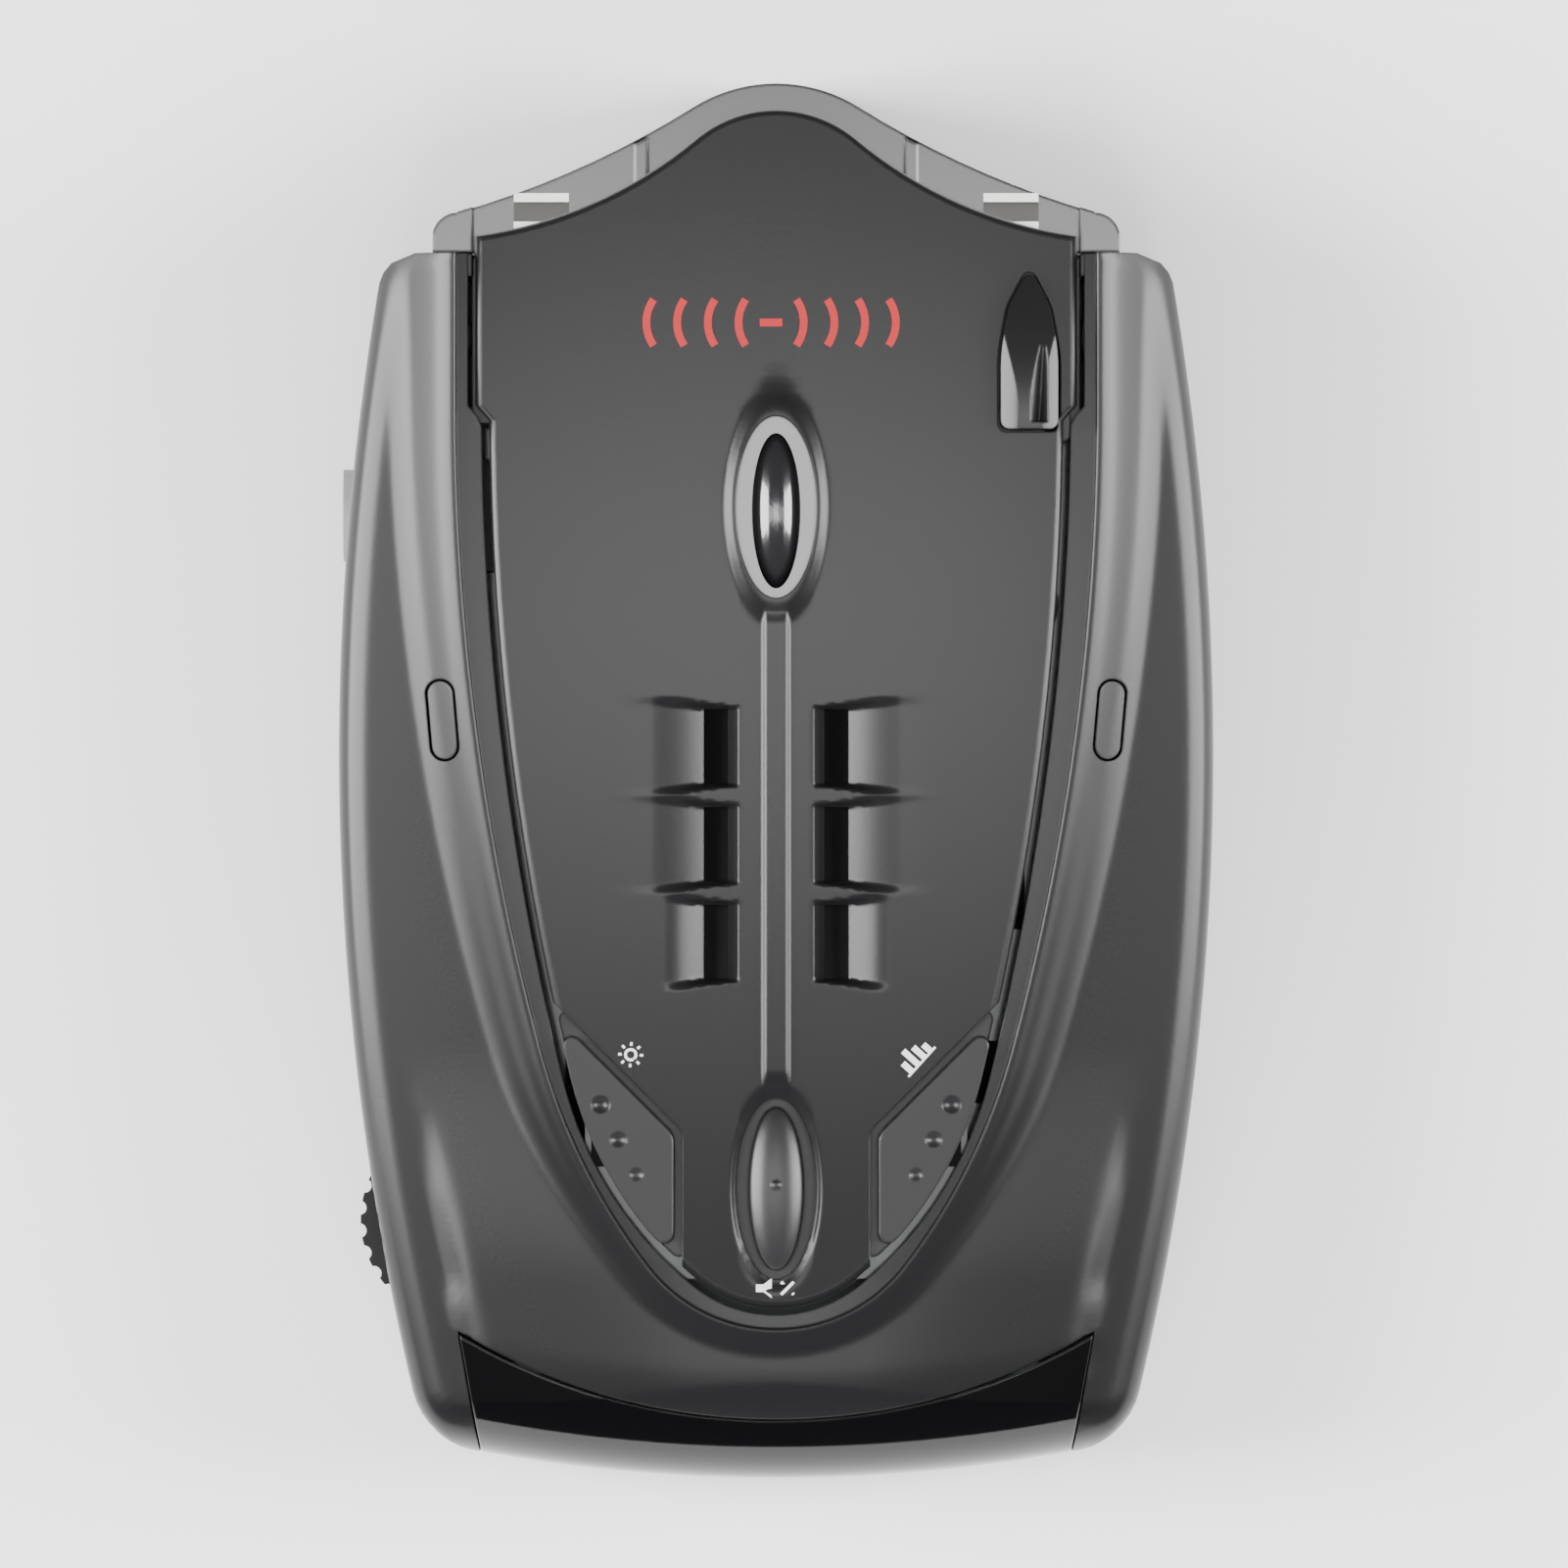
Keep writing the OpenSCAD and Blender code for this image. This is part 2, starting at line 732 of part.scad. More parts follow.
function key_posts() = [[-5.2, mute_y - 4.9], [5.2, mute_y - 4.9], [-5.2, key_y + 6.2], [5.2, key_y + 6.2]];

function laser_post_places() = [[-7, laser_y], [7, laser_y]];

module panel_posts() {
    for (p = key_posts())
        translate([p[0], p[1], key_board_z + key_board_t])
            cylinder(r = 1.3, h = panel_z(p[0], p[1]) - panel_t / 2 - key_board_z - key_board_t);
}

module laser_posts() {
    for (p = laser_post_places())
        translate([p[0], p[1], key_board_z + key_board_t])
            cylinder(r = 1.3, h = panel_z(p[0], p[1]) - panel_t / 2 - key_board_z - key_board_t);
}

// Ring under the panel that locates the loudspeaker, with four screw posts.
module speaker_seat() {
    top = panel_z0 - 1.4;
    low = speaker_top;
    difference() {
        translate([0, 0, low])
            cylinder(r = speaker_r + 1.2, h = top - low);
        translate([0, 0, low - 1])
            cylinder(r = speaker_r + 0.2, h = top - low + 2);
    }
    for (a = [45:90:315])
        translate([(speaker_r + 2.6) * cos(a), (speaker_r + 2.6) * sin(a), low])
            cylinder(r = 1.5, h = top - low);
}

// ---- optics and keys ------------------------------------------------------------------------

module front_lens() {
    low = base_z + 0.4;
    color([0.03, 0.03, 0.035]) {
        difference() {
            translate([0, 0, low])
                linear_extrude(deck_z - low)
                    nose_2d(0, wing_y + 0.15);
            translate([0, 0, low + wall])
                linear_extrude(deck_z - low - 2 * wall)
                    nose_2d(-wall, wing_y - 1);
        }
        // collar that enters the case mouth
        difference() {
            translate([-nose_half + 3.15, wing_y - 2, floor_z + 0.15])
                cube([2 * nose_half - 6.3, 2.4, deck_z - floor_z - 1.9]);
            translate([-nose_half + 4.6, wing_y - 3, floor_z + 1.4])
                cube([2 * nose_half - 9.2, 5, deck_z - floor_z - 4.4]);
        }
        // cheeks that close the ends of the bracket slot
        translate([0, 0, deck_z - 1])
            linear_extrude(slot_h + 1.8)
                difference() {
                    nose_2d(0, wing_y + 0.15);
                    translate([-front_half - 0.3, wing_y - 1])
                        square([2 * front_half + 0.6, 30]);
                }
        // guide ribs on the deck
        translate([0, 0, deck_z - 1])
            linear_extrude(slot_h + 0.8)
                intersection() {
                    nose_2d(-0.3, wing_y + 0.15);
                    for (side = [-1, 1])
                        translate([side * 10.8 - 0.5, wing_y])
                            square([1, 12]);
                }
    }
}

module display_window() {
    color([0.02, 0.02, 0.025])
        intersection() {
            difference() {
                intersection() {
                    rear_disc(0, window_z - 2, 60, rear_roll);
                    hood_cap(0);
                }
                intersection() {
                    rear_disc(1.6, window_z - 3, 60, rear_roll);
                    hood_cap(1.6);
                }
            }
            translate([0, 0, window_z + 0.12])
                linear_extrude(60)
                    window_2d(0);
        }
}

module laser_lens() {
    z = panel_z(0, laser_y);
    color([0.05, 0.05, 0.06]) {
        translate([0, laser_y, z - 3.3])
            linear_extrude(1.1)
                oval_2d(oval_w + 1.6, oval_l + 1.6);
        translate([0, laser_y, z - 2.3])
            linear_extrude(0.9)
                oval_2d(oval_w - 0.3, oval_l - 0.3);
        translate([0, laser_y - 0.3, z - 1.5])
            intersection() {
                scale([3.9 / 12.4, 1, 0.3])
                    sphere(6.2);
                translate([-5, -10, 0])
                    cube([10, 20, 5]);
            }
    }
}

// Tact-switch plunger that rides with its key.
module plunger(x, y) {
    color([0.8, 0.8, 0.78])
        translate([x, y, switch_top - 1])
            cylinder(r = 0.9, h = 1.8);
}

module mute_button() {
    z = panel_z(0, mute_y);
    color(ink) {
        translate([0, mute_y, z - 3.55])
            linear_extrude(0.7)
                oval_2d(oval_w + 1.4, oval_l + 1.4);
        translate([0, mute_y, z - 3.5])
            linear_extrude(3.5)
                oval_2d(4.3, 12.9);
        translate([0, mute_y, z - 0.01])
            intersection() {
                scale([4.3 / 12.9, 1, 0.16])
                    sphere(6.45);
                translate([-5, -10, 0])
                    cube([10, 20, 5]);
            }
        translate([0, mute_y + 0.3, z + 0.86])
            sphere(0.42);
        translate([0, mute_y, switch_top + 0.8])
            cylinder(r = 1.2, h = z - 3.2 - switch_top - 0.8);
    }
}

module mute_plunger() {
    plunger(0, mute_y);
}

// Barrel that carries the panel surface over the corner keys.
module key_cap() {
    translate([0, key_y, panel_z(0, key_y) + 0.15])
        rotate([top_tilt + key_fall, 0, 0])
            translate([0, -20, -panel_cross_r])
                rotate([-90, 0, 0])
                    cylinder(r = panel_cross_r, h = 40, $fn = 4 * fine);
}

module corner_key(side) {
    z = panel_z(key_x, key_y);
    color([0.2, 0.2, 0.21])
        difference() {
            union() {
                intersection() {
                    key_cap();
                    translate([0, 0, z - 3.4])
                        linear_extrude(10)
                            key_2d(side, 0, 0);
                }
                translate([0, 0, z - 3.4])
                    linear_extrude(0.6)
                        key_2d(side, 1.25, -0.1);
                translate([side * key_x, key_y, switch_top + 0.8])
                    cylinder(r = 1.2, h = z - 3.1 - switch_top - 0.8);
            }
            for (i = [-1:1])
                translate([side * (key_x - i * 1.42), key_y - i * 2.8, z + 0.62])
                    sphere(0.8);
        }
}

module dim_button() {
    corner_key(-1);
}

module dim_plunger() {
    plunger(-key_x, key_y);
}

module city_button() {
    corner_key(1);
}

module city_plunger() {
    plunger(key_x, key_y);
}

module release_button() {
    z = panel_z(release_x, release_y + 5);
    low = z - 3.05;
    color(ink)
        difference() {
            union() {
                intersection() {
                    translate([0, 0, low])
                        linear_extrude(12)
                            release_2d(0);
                    translate([release_x - 5, release_y + 1.5, z + 2.1 - 34])
                        rotate([0, 90, 0])
                            cylinder(r = 34, h = 10, $fn = fine);
                    translate([release_x, release_y - 5, z + 2.2 - 3.6])
                        rotate([-90, 0, 0])
                            cylinder(r = 3.6, h = 30);
                }
                translate([0, 0, low])
                    linear_extrude(0.6)
                        release_2d(1);
                translate([release_x - 1.2, release_y + 4.9, deck_z + 1.4])
                    cube([2.4, 2.4, low - deck_z - 1]);
                translate([release_x - 1.2, release_y + 4.9, deck_z + 0.4])
                    cube([2.4, 3, 1.2]);
            }
            translate([release_x, release_y + 2.4, low - 1])
                cylinder(r = 1.65, h = 3.4);
            // finger groove that narrows toward the blunt end
            translate([release_x, release_y + 0.6, z + 1.95])
                rotate([4, 45, 0])
                    cube([1.1, 6, 1.1]);
        }
}

module release_spring() {
    z = panel_z(release_x, release_y + 5);
    coils = 6;
    wire = 0.2;
    low = roof_z + 1.6 + wire + 0.02;
    high = z - 3.05 + 2.4 - wire - 0.02;
    pitch = (high - low) / (coils - 1);
    r = 1.15;
    color([0.75, 0.75, 0.76])
        translate([release_x, release_y + 2.4, low]) {
            for (i = [0:coils - 1])
                translate([0, 0, i * pitch])
                    rotate_extrude($fn = 32)
                        translate([r, 0])
                            circle(wire, $fn = 16);
            for (i = [0:coils - 2])
                rotate(i * 180)
                    translate([r, 0, i * pitch])
                        cylinder(r = wire * 0.8, h = pitch, $fn = 16);
        }
}

module bracket_clips() {
    color([0.72, 0.72, 0.73])
        for (side = [-1, 1])
            translate([side * 18.8 - 2.2, wing_y, deck_z + 0.01])
                rotate([90, 0, 90])
                    linear_extrude(4.4)
                        polygon([[0.3, 0], [4.9, 0], [4.9, 0.45], [4.2, 0.45], [2.6, 1.75], [0.9, 1.75],
                            [0.9, 1.35], [2.4, 1.35], [3.5, 0.4], [0.3, 0.4]]);
}

// ---- volume control and power socket --------------------------------------------------------

module volume_wheel() {
    color([0.1, 0.1, 0.1])
        translate([wheel_x, wheel_y, wheel_z])
            difference() {
                union() {
                    cylinder(r = wheel_r, h = wheel_t);
                    cylinder(r = 2.6, h = wheel_t + 0.4);
                }
                translate([0, 0, -1])
                    cylinder(r = 1.51, h = wheel_t + 3);
                for (i = [0:wheel_teeth - 1])
                    rotate((i + 0.5) * 360 / wheel_teeth)
                        translate([wheel_r + 0.18, 0, -1])
                            cylinder(r = 0.6, h = wheel_t + 3, $fn = 24);
                translate([0, 0, wheel_t - 0.5])
                    difference() {
                        cylinder(r = wheel_r - 1.6, h = 1);
                        translate([0, 0, -1])
                            cylinder(r = 3.4, h = 3);
                    }
            }
}

module volume_shaft() {
    color([0.78, 0.78, 0.8])
        translate([wheel_x, wheel_y, board_top + 1.2])
            cylinder(r = 1.5, h = wheel_z + wheel_t + 0.6 - board_top - 1.2);
}

module volume_pot() {
    color([0.45, 0.45, 0.47])
        translate([wheel_x, wheel_y, board_top])
            difference() {
                union() {
                    translate([-3.5, -4.5, 0])
                        cube([8, 9, 5]);
                    cylinder(r = 3, h = wheel_z - board_top - 0.3);
                    for (i = [-1:1])
                        translate([4.4, i * 2.5 - 0.4, 0])
                            cube([1.6, 0.8, 0.3]);
                }
                translate([0, 0, 0.8])
                    cylinder(r = 1.56, h = 20);
            }
}

module jack_body() {
    color([0.55, 0.55, 0.56])
        translate([0, jack_y, jack_z])
            difference() {
                union() {
                    translate([jack_wall_x + wall + 0.6, -4.5, board_top - jack_z])
                        cube([11, 9, 8]);
                    translate([jack_x, 0, 0])
                        rotate([0, 90, 0])
                            cylinder(r = jack_bore / 2 + 0.9, h = jack_wall_x - jack_x + wall + 1.6);
                }
                translate([jack_x - 1, 0, 0])
                    rotate([0, 90, 0])
                        cylinder(r = jack_bore / 2, h = 10.5);
            }
}

module jack_pin_post() {
    color([0.8, 0.8, 0.8])
        translate([jack_x + 1, jack_y, jack_z])
            rotate([0, 90, 0])
                cylinder(r = jack_pin / 2, h = 8.5);
}

module rubber_feet() {
    color([0.06, 0.06, 0.06])
        for (p = foot_places())
            translate([p[0], p[1], 0])
                cylinder(r = 4, h = base_z + 0.5);
}

// ---- fasteners and boards -------------------------------------------------------------------

// Cross-recessed screw pointing up, its head at the bottom.
module screw(r, head_r, head_h, shank) {
    difference() {
        union() {
            cylinder(r = head_r, h = head_h);
            translate([0, 0, head_h - 0.01])
                cylinder(r = r, h = shank);
        }
        for (a = [0, 90])
            rotate(a)
                translate([-head_r * 0.6, -head_r * 0.12, -1])
                    cube([head_r * 1.2, head_r * 0.24, 1 + head_h * 0.5]);
    }
}

module case_screws() {
    color([0.3, 0.3, 0.31])
        at_bosses()
            translate([0, 0, base_z + 1.3])
                screw(screw_r, 2.2, 1.5, joint_z - base_z + 2);
}

module main_board() {
    color([0.05, 0.25, 0.12])
        translate([0, 0, board_z])
            difference() {
                linear_extrude(board_t)
                    union() {
                        translate([-24.3, rear_y + 10.9])
                            square([48.6, wing_y - 4.2 - rear_y - 10.9]);
                        translate([jack_wall_x + wall + 1, jack_y - 5.5])
                            square([10, 11]);
                        translate([wheel_x - 4.8, wheel_y - 5])
                            square([8, 10]);
                    }
                for (p = board_posts())
                    translate([p[0], p[1], -1])
                        cylinder(r = 1.1, h = 5);
            }
}

module board_screws() {
    color([0.75, 0.75, 0.76])
        for (p = board_posts())
            translate([p[0], p[1], board_top + 0.02])
                mirror([0, 0, 1])
                    translate([0, 0, -1.1])
                        screw(0.75, 1.7, 1.1, board_t + 2.6);
}

module horn_antenna() {
    back = wing_y - 28;
    mouth = wing_y - 2.2;
    mid = board_top + 6;
    color([0.7, 0.7, 0.7]) {
        difference() {
            horn_block(back, mouth, mid, 5.5, 13, 3.4, 5.2);
            horn_block(back - 0.1, mouth + 0.1, mid, 4.7, 12.2, 2.6, 4.4);
        }
        difference() {
            translate([-6.5, back - 6, mid - 5.2])
                cube([13, 6.3, 9]);
            translate([-4.7, back - 4.6, mid - 2.6])
                cube([9.4, 5.4, 5.2]);
        }
        for (side = [-1, 1])
            translate([side * 7.4 - 1.6, back - 5, board_top])
                cube([3.2, 5, 1.2]);
    }
}

module horn_block(y0, y1, z, w0, w1, h0, h1) {
    intersection() {
        translate([0, 0, z - 10])
            linear_extrude(20)
                polygon([[-w0, y0], [w0, y0], [w1, y1], [-w1, y1]]);
        translate([-30, 0, z])
            rotate([90, 0, 90])
                linear_extrude(60)
                    polygon([[y0, -h0], [y1, -h1], [y1, h1], [y0, h0]]);
    }
}

module mixer_shield() {
    color([0.75, 0.75, 0.74])
        translate([-11, wing_y - 49, board_top])
            difference() {
                cube([22, 14, 5]);
                translate([0.4, 0.4, -1])
                    cube([21.2, 13.2, 5.6]);
                for (i = [0:4], j = [0:2])
                    translate([3 + 4 * i, 3 + 4 * j, 3])
                        cylinder(r = 0.6, h = 4, $fn = 24);
            }
}

module board_chips() {
    color([0.05, 0.05, 0.05]) {
        translate([-17, rear_y + 26, board_top])
            cube([10, 10, 1.4]);
        translate([6, rear_y + 28, board_top])
            cube([6, 5, 1.5]);
        translate([16, rear_y + 30, board_top])
            cube([4, 5, 1.5]);
        translate([14, rear_y + 44, board_top])
            cube([6, 9, 2.3]);
        translate([-20, wing_y - 34, board_top])
            cube([5, 6, 1.5]);
        for (i = [0:5])
            translate([-3 + i * 2.4, rear_y + 22, board_top])
                cube([1, 2, 0.6]);
    }
    color([0.8, 0.7, 0.4])
        for (i = [-2:2], side = [-1, 1])
            translate([-12 + i * 1.9 - 0.3, rear_y + 31 + side * 5.6 - 0.6, board_top])
                cube([0.6, 1.2, 0.3]);
}

module power_capacitors() {
    color([0.12, 0.12, 0.2])
        for (p = [[19.5, wing_y - 20, 3.2, 8], [19.5, wing_y - 28, 3.2, 8], [-17, wing_y - 40, 2.5, 5.5],
            [18, rear_y + 24, 2.5, 5.5]])
            translate([p[0], p[1], board_top])
                difference() {
                    cylinder(r = p[2], h = p[3]);
                    translate([-p[2], -0.15, p[3] - 0.3])
                        cube([2 * p[2], 0.3, 1]);
                }
}

// ---- loudspeaker ----------------------------------------------------------------------------

module speaker_frame() {
    r = speaker_r;
    color([0.25, 0.25, 0.26])
        translate([0, speaker_y, speaker_top])
            difference() {
                rotate_extrude()
                    polygon([[r - 1.6, 0.5], [r, 0.5], [r, 0.01], [r - 1.3, 0.01], [r * 0.6, -4.6],
                        [r * 0.6, -5.6], [2.2, -5.6], [2.2, -5], [r * 0.55, -5], [r * 0.55, -4.2]]);
                for (i = [0:5])
                    rotate(i * 60)
                        translate([r * 0.72, -1.6, -3.6])
                            cube([r * 0.2, 3.2, 2]);
            }
}

module speaker_cone() {
    r = speaker_r - 0.8;
    color([0.12, 0.12, 0.12])
        translate([0, speaker_y, speaker_top])
            rotate_extrude()
                polygon([[0, -2.2], [2.4, -2.7], [3.4, -3.3], [r - 3.4, -0.6], [r - 2.6, 0.1],
                    [r - 1.9, 0.1], [r - 1.7, -0.25], [r - 2, -0.2], [r - 2.5, -0.25], [r - 3.3, -1],
                    [3.6, -3.75], [3.6, -4.8], [3.2, -4.8], [3.2, -3.7], [2.2, -3], [0, -2.5]]);
}

module speaker_magnet() {
    color([0.35, 0.35, 0.36])
        translate([0, speaker_y, speaker_top - 5.65])
            mirror([0, 0, 1]) {
                difference() {
                    cylinder(r = speaker_r * 0.54, h = 0.8);
                    translate([0, 0, -1])
                        cylinder(r = 3.8, h = 3);
                }
                translate([0, 0, 0.8])
                    cylinder(r = speaker_r * 0.5, h = 2.8);
                translate([0, 0, 3.6])
                    cylinder(r = speaker_r * 0.54, h = 0.8);
            }
}

module speaker_mesh() {
    color([0.08, 0.08, 0.08])
        translate([0, speaker_y, speaker_top + 0.54])
            cylinder(r = speaker_r - 0.2, h = 0.12);
}

module speaker_clamp() {
    r = speaker_r;
    color(ink)
        translate([0, speaker_y, speaker_top - 1.02])
            difference() {
                union() {
                    cylinder(r = r + 1.2, h = 1);
                    for (a = [45:90:315])
                        translate([(r + 2.6) * cos(a), (r + 2.6) * sin(a), 0])
                            cylinder(r = 1.6, h = 1);
                }
                translate([0, 0, -1])
                    cylinder(r = r - 0.6, h = 3);
                for (a = [45:90:315])
                    translate([(r + 2.6) * cos(a), (r + 2.6) * sin(a), -1])
                        cylinder(r = 0.85, h = 3);
            }
}

// ---- key board, laser board and display -----------------------------------------------------

module key_board() {
    color([0.05, 0.25, 0.12])
        translate([0, 0, key_board_z])
            difference() {
                linear_extrude(key_board_t)
                    polygon([[-8, mute_y - 7.3], [8, mute_y - 7.3], [15.3, key_y - 3],
                        [15.3, key_y + 3.4], [8, key_y + 8.1],
                        [-8, key_y + 8.1], [-15.3, key_y + 3.4], [-15.3, key_y - 3]]);
                for (p = key_posts())
                    translate([p[0], p[1], -1])
                        cylinder(r = 0.8, h = 5);
            }
}

module key_switches() {
    color([0.7, 0.7, 0.72])
        for (p = [[0, mute_y], [-key_x, key_y], [key_x, key_y]])
            translate([p[0], p[1], key_board_z + key_board_t])
                difference() {
                    translate([-2.2, -2.2, 0])
                        cube([4.4, 4.4, 2]);
                    translate([0, 0, 0.4])
                        cylinder(r = 0.96, h = 3);
                }
}

module panel_screws() {
    color([0.75, 0.75, 0.76]) {
        for (p = concat(key_posts(), laser_post_places()))
            translate([p[0], p[1], key_board_z - 0.92])
                screw(0.65, 1.3, 0.9, key_board_t + 2.6);
        for (a = [45:90:315])
            translate([(speaker_r + 2.6) * cos(a), speaker_y + (speaker_r + 2.6) * sin(a), speaker_top - 1.94])
                screw(0.65, 1.3, 0.9, 1.6);
    }
}

module laser_board() {
    color([0.05, 0.25, 0.12])
        translate([0, laser_y, key_board_z])
            difference() {
                translate([-9, -5, 0])
                    cube([18, 10, key_board_t]);
                for (p = laser_post_places())
                    translate([p[0], 0, -1])
                        cylinder(r = 0.8, h = 5);
            }
}

module laser_diode() {
    color([0.2, 0.05, 0.08])
        translate([0, laser_y, key_board_z + key_board_t]) {
            translate([-2.4, -2.4, 0])
                cube([4.8, 4.8, 1.6]);
            translate([0, 0, 1.59])
                cylinder(r = 1.9, h = 1.6);
            translate([0, 0, 3.19])
                intersection() {
                    sphere(1.9);
                    translate([-3, -3, 0])
                        cube([6, 6, 3]);
                }
        }
}

module display_board() {
    color([0.05, 0.25, 0.12])
        translate([-21, rear_y + 8.5, board_z - 1.2])
            cube([42, 1.2, 16.5]);
}

module display_module() {
    color([0.08, 0.08, 0.08])
        translate([-20, rear_y + 4.3, board_z + 0.8])
            difference() {
                cube([40, 4.2, 13]);
                translate([1.2, -1, 1.2])
                    cube([22, 1.6, 10.6]);
                for (i = [0:3], j = [0:1])
                    translate([26 + 3.4 * i, -1, 3.6 + 6 * j])
                        rotate([-90, 0, 0])
                            cylinder(r = 1.1, h = 2.2, $fn = 24);
            }
}

module display_header() {
    color([0.1, 0.1, 0.1])
        translate([-9, rear_y + 9.72, board_top])
            difference() {
                cube([18, 3, 2.5]);
                for (i = [0:6])
                    translate([1.38 + 2.54 * i - 0.3, 1.2, 1.4])
                        cube([0.6, 3, 0.6]);
            }
}

module front_sensor() {
    color([0.05, 0.25, 0.12])
        translate([11.5, wing_y + 1.1, base_z + 4.4])
            cube([7, 1.1, 9]);
    color([0.2, 0.05, 0.08])
        translate([15, wing_y + 2.19, base_z + 9])
            rotate([-90, 0, 0]) {
                cylinder(r = 1.6, h = 0.6);
                translate([0, 0, 0.59])
                    intersection() {
                        sphere(1.5);
                        translate([-3, -3, 0])
                            cube([6, 6, 3]);
                    }
            }
}

lower_shell();
upper_shell();
centre_panel();
front_lens();
display_window();
laser_lens();
mute_button();
mute_plunger();
dim_button();
dim_plunger();
city_button();
city_plunger();
release_button();
release_spring();
bracket_clips();
side_plug_left();
side_plug_right();
volume_wheel();
volume_shaft();
volume_pot();
jack_body();
jack_pin_post();
rubber_feet();
case_screws();
main_board();
board_screws();
horn_antenna();
mixer_shield();
board_chips();
power_capacitors();
speaker_frame();
speaker_cone();
speaker_magnet();
speaker_mesh();
speaker_clamp();
key_board();
key_switches();
panel_screws();
laser_board();
laser_diode();
display_board();
display_module();
display_header();
front_sensor();
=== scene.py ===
"""Dash-mounted radar detector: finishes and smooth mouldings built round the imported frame.

All shapes are worked out in millimetres, in the frame's own axes: +X right, +Y windscreen, +Z up.
"""

import logging
import math
from dataclasses import dataclass
from enum import Enum
from typing import Callable

import bmesh
import bpy
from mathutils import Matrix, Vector


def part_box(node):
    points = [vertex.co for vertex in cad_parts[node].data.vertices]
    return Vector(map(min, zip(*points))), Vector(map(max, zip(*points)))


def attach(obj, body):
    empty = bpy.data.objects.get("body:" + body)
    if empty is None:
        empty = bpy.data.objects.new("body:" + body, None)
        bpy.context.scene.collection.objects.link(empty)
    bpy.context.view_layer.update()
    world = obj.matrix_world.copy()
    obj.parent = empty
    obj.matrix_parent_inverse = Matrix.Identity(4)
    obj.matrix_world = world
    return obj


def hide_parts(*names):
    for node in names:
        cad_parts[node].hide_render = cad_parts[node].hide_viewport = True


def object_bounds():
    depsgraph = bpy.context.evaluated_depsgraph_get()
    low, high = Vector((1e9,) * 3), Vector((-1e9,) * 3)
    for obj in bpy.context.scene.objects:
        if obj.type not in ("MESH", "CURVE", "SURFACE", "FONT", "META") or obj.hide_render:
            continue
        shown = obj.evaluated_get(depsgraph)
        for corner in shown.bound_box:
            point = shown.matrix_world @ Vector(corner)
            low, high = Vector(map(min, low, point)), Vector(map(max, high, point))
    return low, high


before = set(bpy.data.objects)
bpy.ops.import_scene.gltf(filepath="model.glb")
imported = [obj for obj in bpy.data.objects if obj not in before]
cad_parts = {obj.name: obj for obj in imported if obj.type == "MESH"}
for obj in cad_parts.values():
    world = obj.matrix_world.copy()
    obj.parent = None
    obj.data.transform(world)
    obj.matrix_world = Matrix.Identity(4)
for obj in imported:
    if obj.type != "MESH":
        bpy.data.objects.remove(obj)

CAD_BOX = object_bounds()
MM = 0.001
LOG = logging.getLogger("radar_detector")

Point2 = tuple[float, float]
Point3 = tuple[float, float, float]
Outline = list[Point2]
# an outline with the heights between which it cuts
Cut = tuple[Outline, float, float]
Face = tuple[int, ...]
# x, y, and the direction x, y that points away from an outline
Ray = tuple[float, float, float, float]

# vertices closer than this are one: for new meshes, and for the frame's finer ones
WELD_MM = 0.0005
FRAME_WELD_MM = 0.002
COAT_ROUGHNESS = 0.06


# ---- finishes ---------------------------------------------------------------------------------


def to_linear(colour: str) -> tuple[float, float, float, float]:
    """Turns an sRGB hex colour to linear.

    Args:
        colour: six hex digits after a hash sign.

    Returns:
        Linear red, green, blue and an alpha of one.
    """
    parts = [int(colour[i : i + 2], 16) / 255 for i in (1, 3, 5)]
    low, gamma = 0.04045, 2.4
    rgb = [p / 12.92 if p <= low else ((p + 0.055) / 1.055) ** gamma for p in parts]
    return rgb[0], rgb[1], rgb[2], 1.0


def add_node(
    tree: bpy.types.NodeTree,
    kind: str,
    settings: dict[str, object] | None = None,
    links: dict[str, bpy.types.NodeSocket] | None = None,
) -> bpy.types.Node:
    """Adds a node with its settings and links.

    Args:
        tree: the material's node tree.
        kind: Blender's name of the node type.
        settings: values by input or property name.
        links: source sockets by input name.

    Returns:
        The new node.
    """
    made = tree.nodes.new(kind)
    for name, value in (settings or {}).items():
        if name in made.inputs:
            made.inputs[name].default_value = value
        else:
            setattr(made, name, value)
    for name, source in (links or {}).items():
        tree.links.new(source, made.inputs[name])
    return made


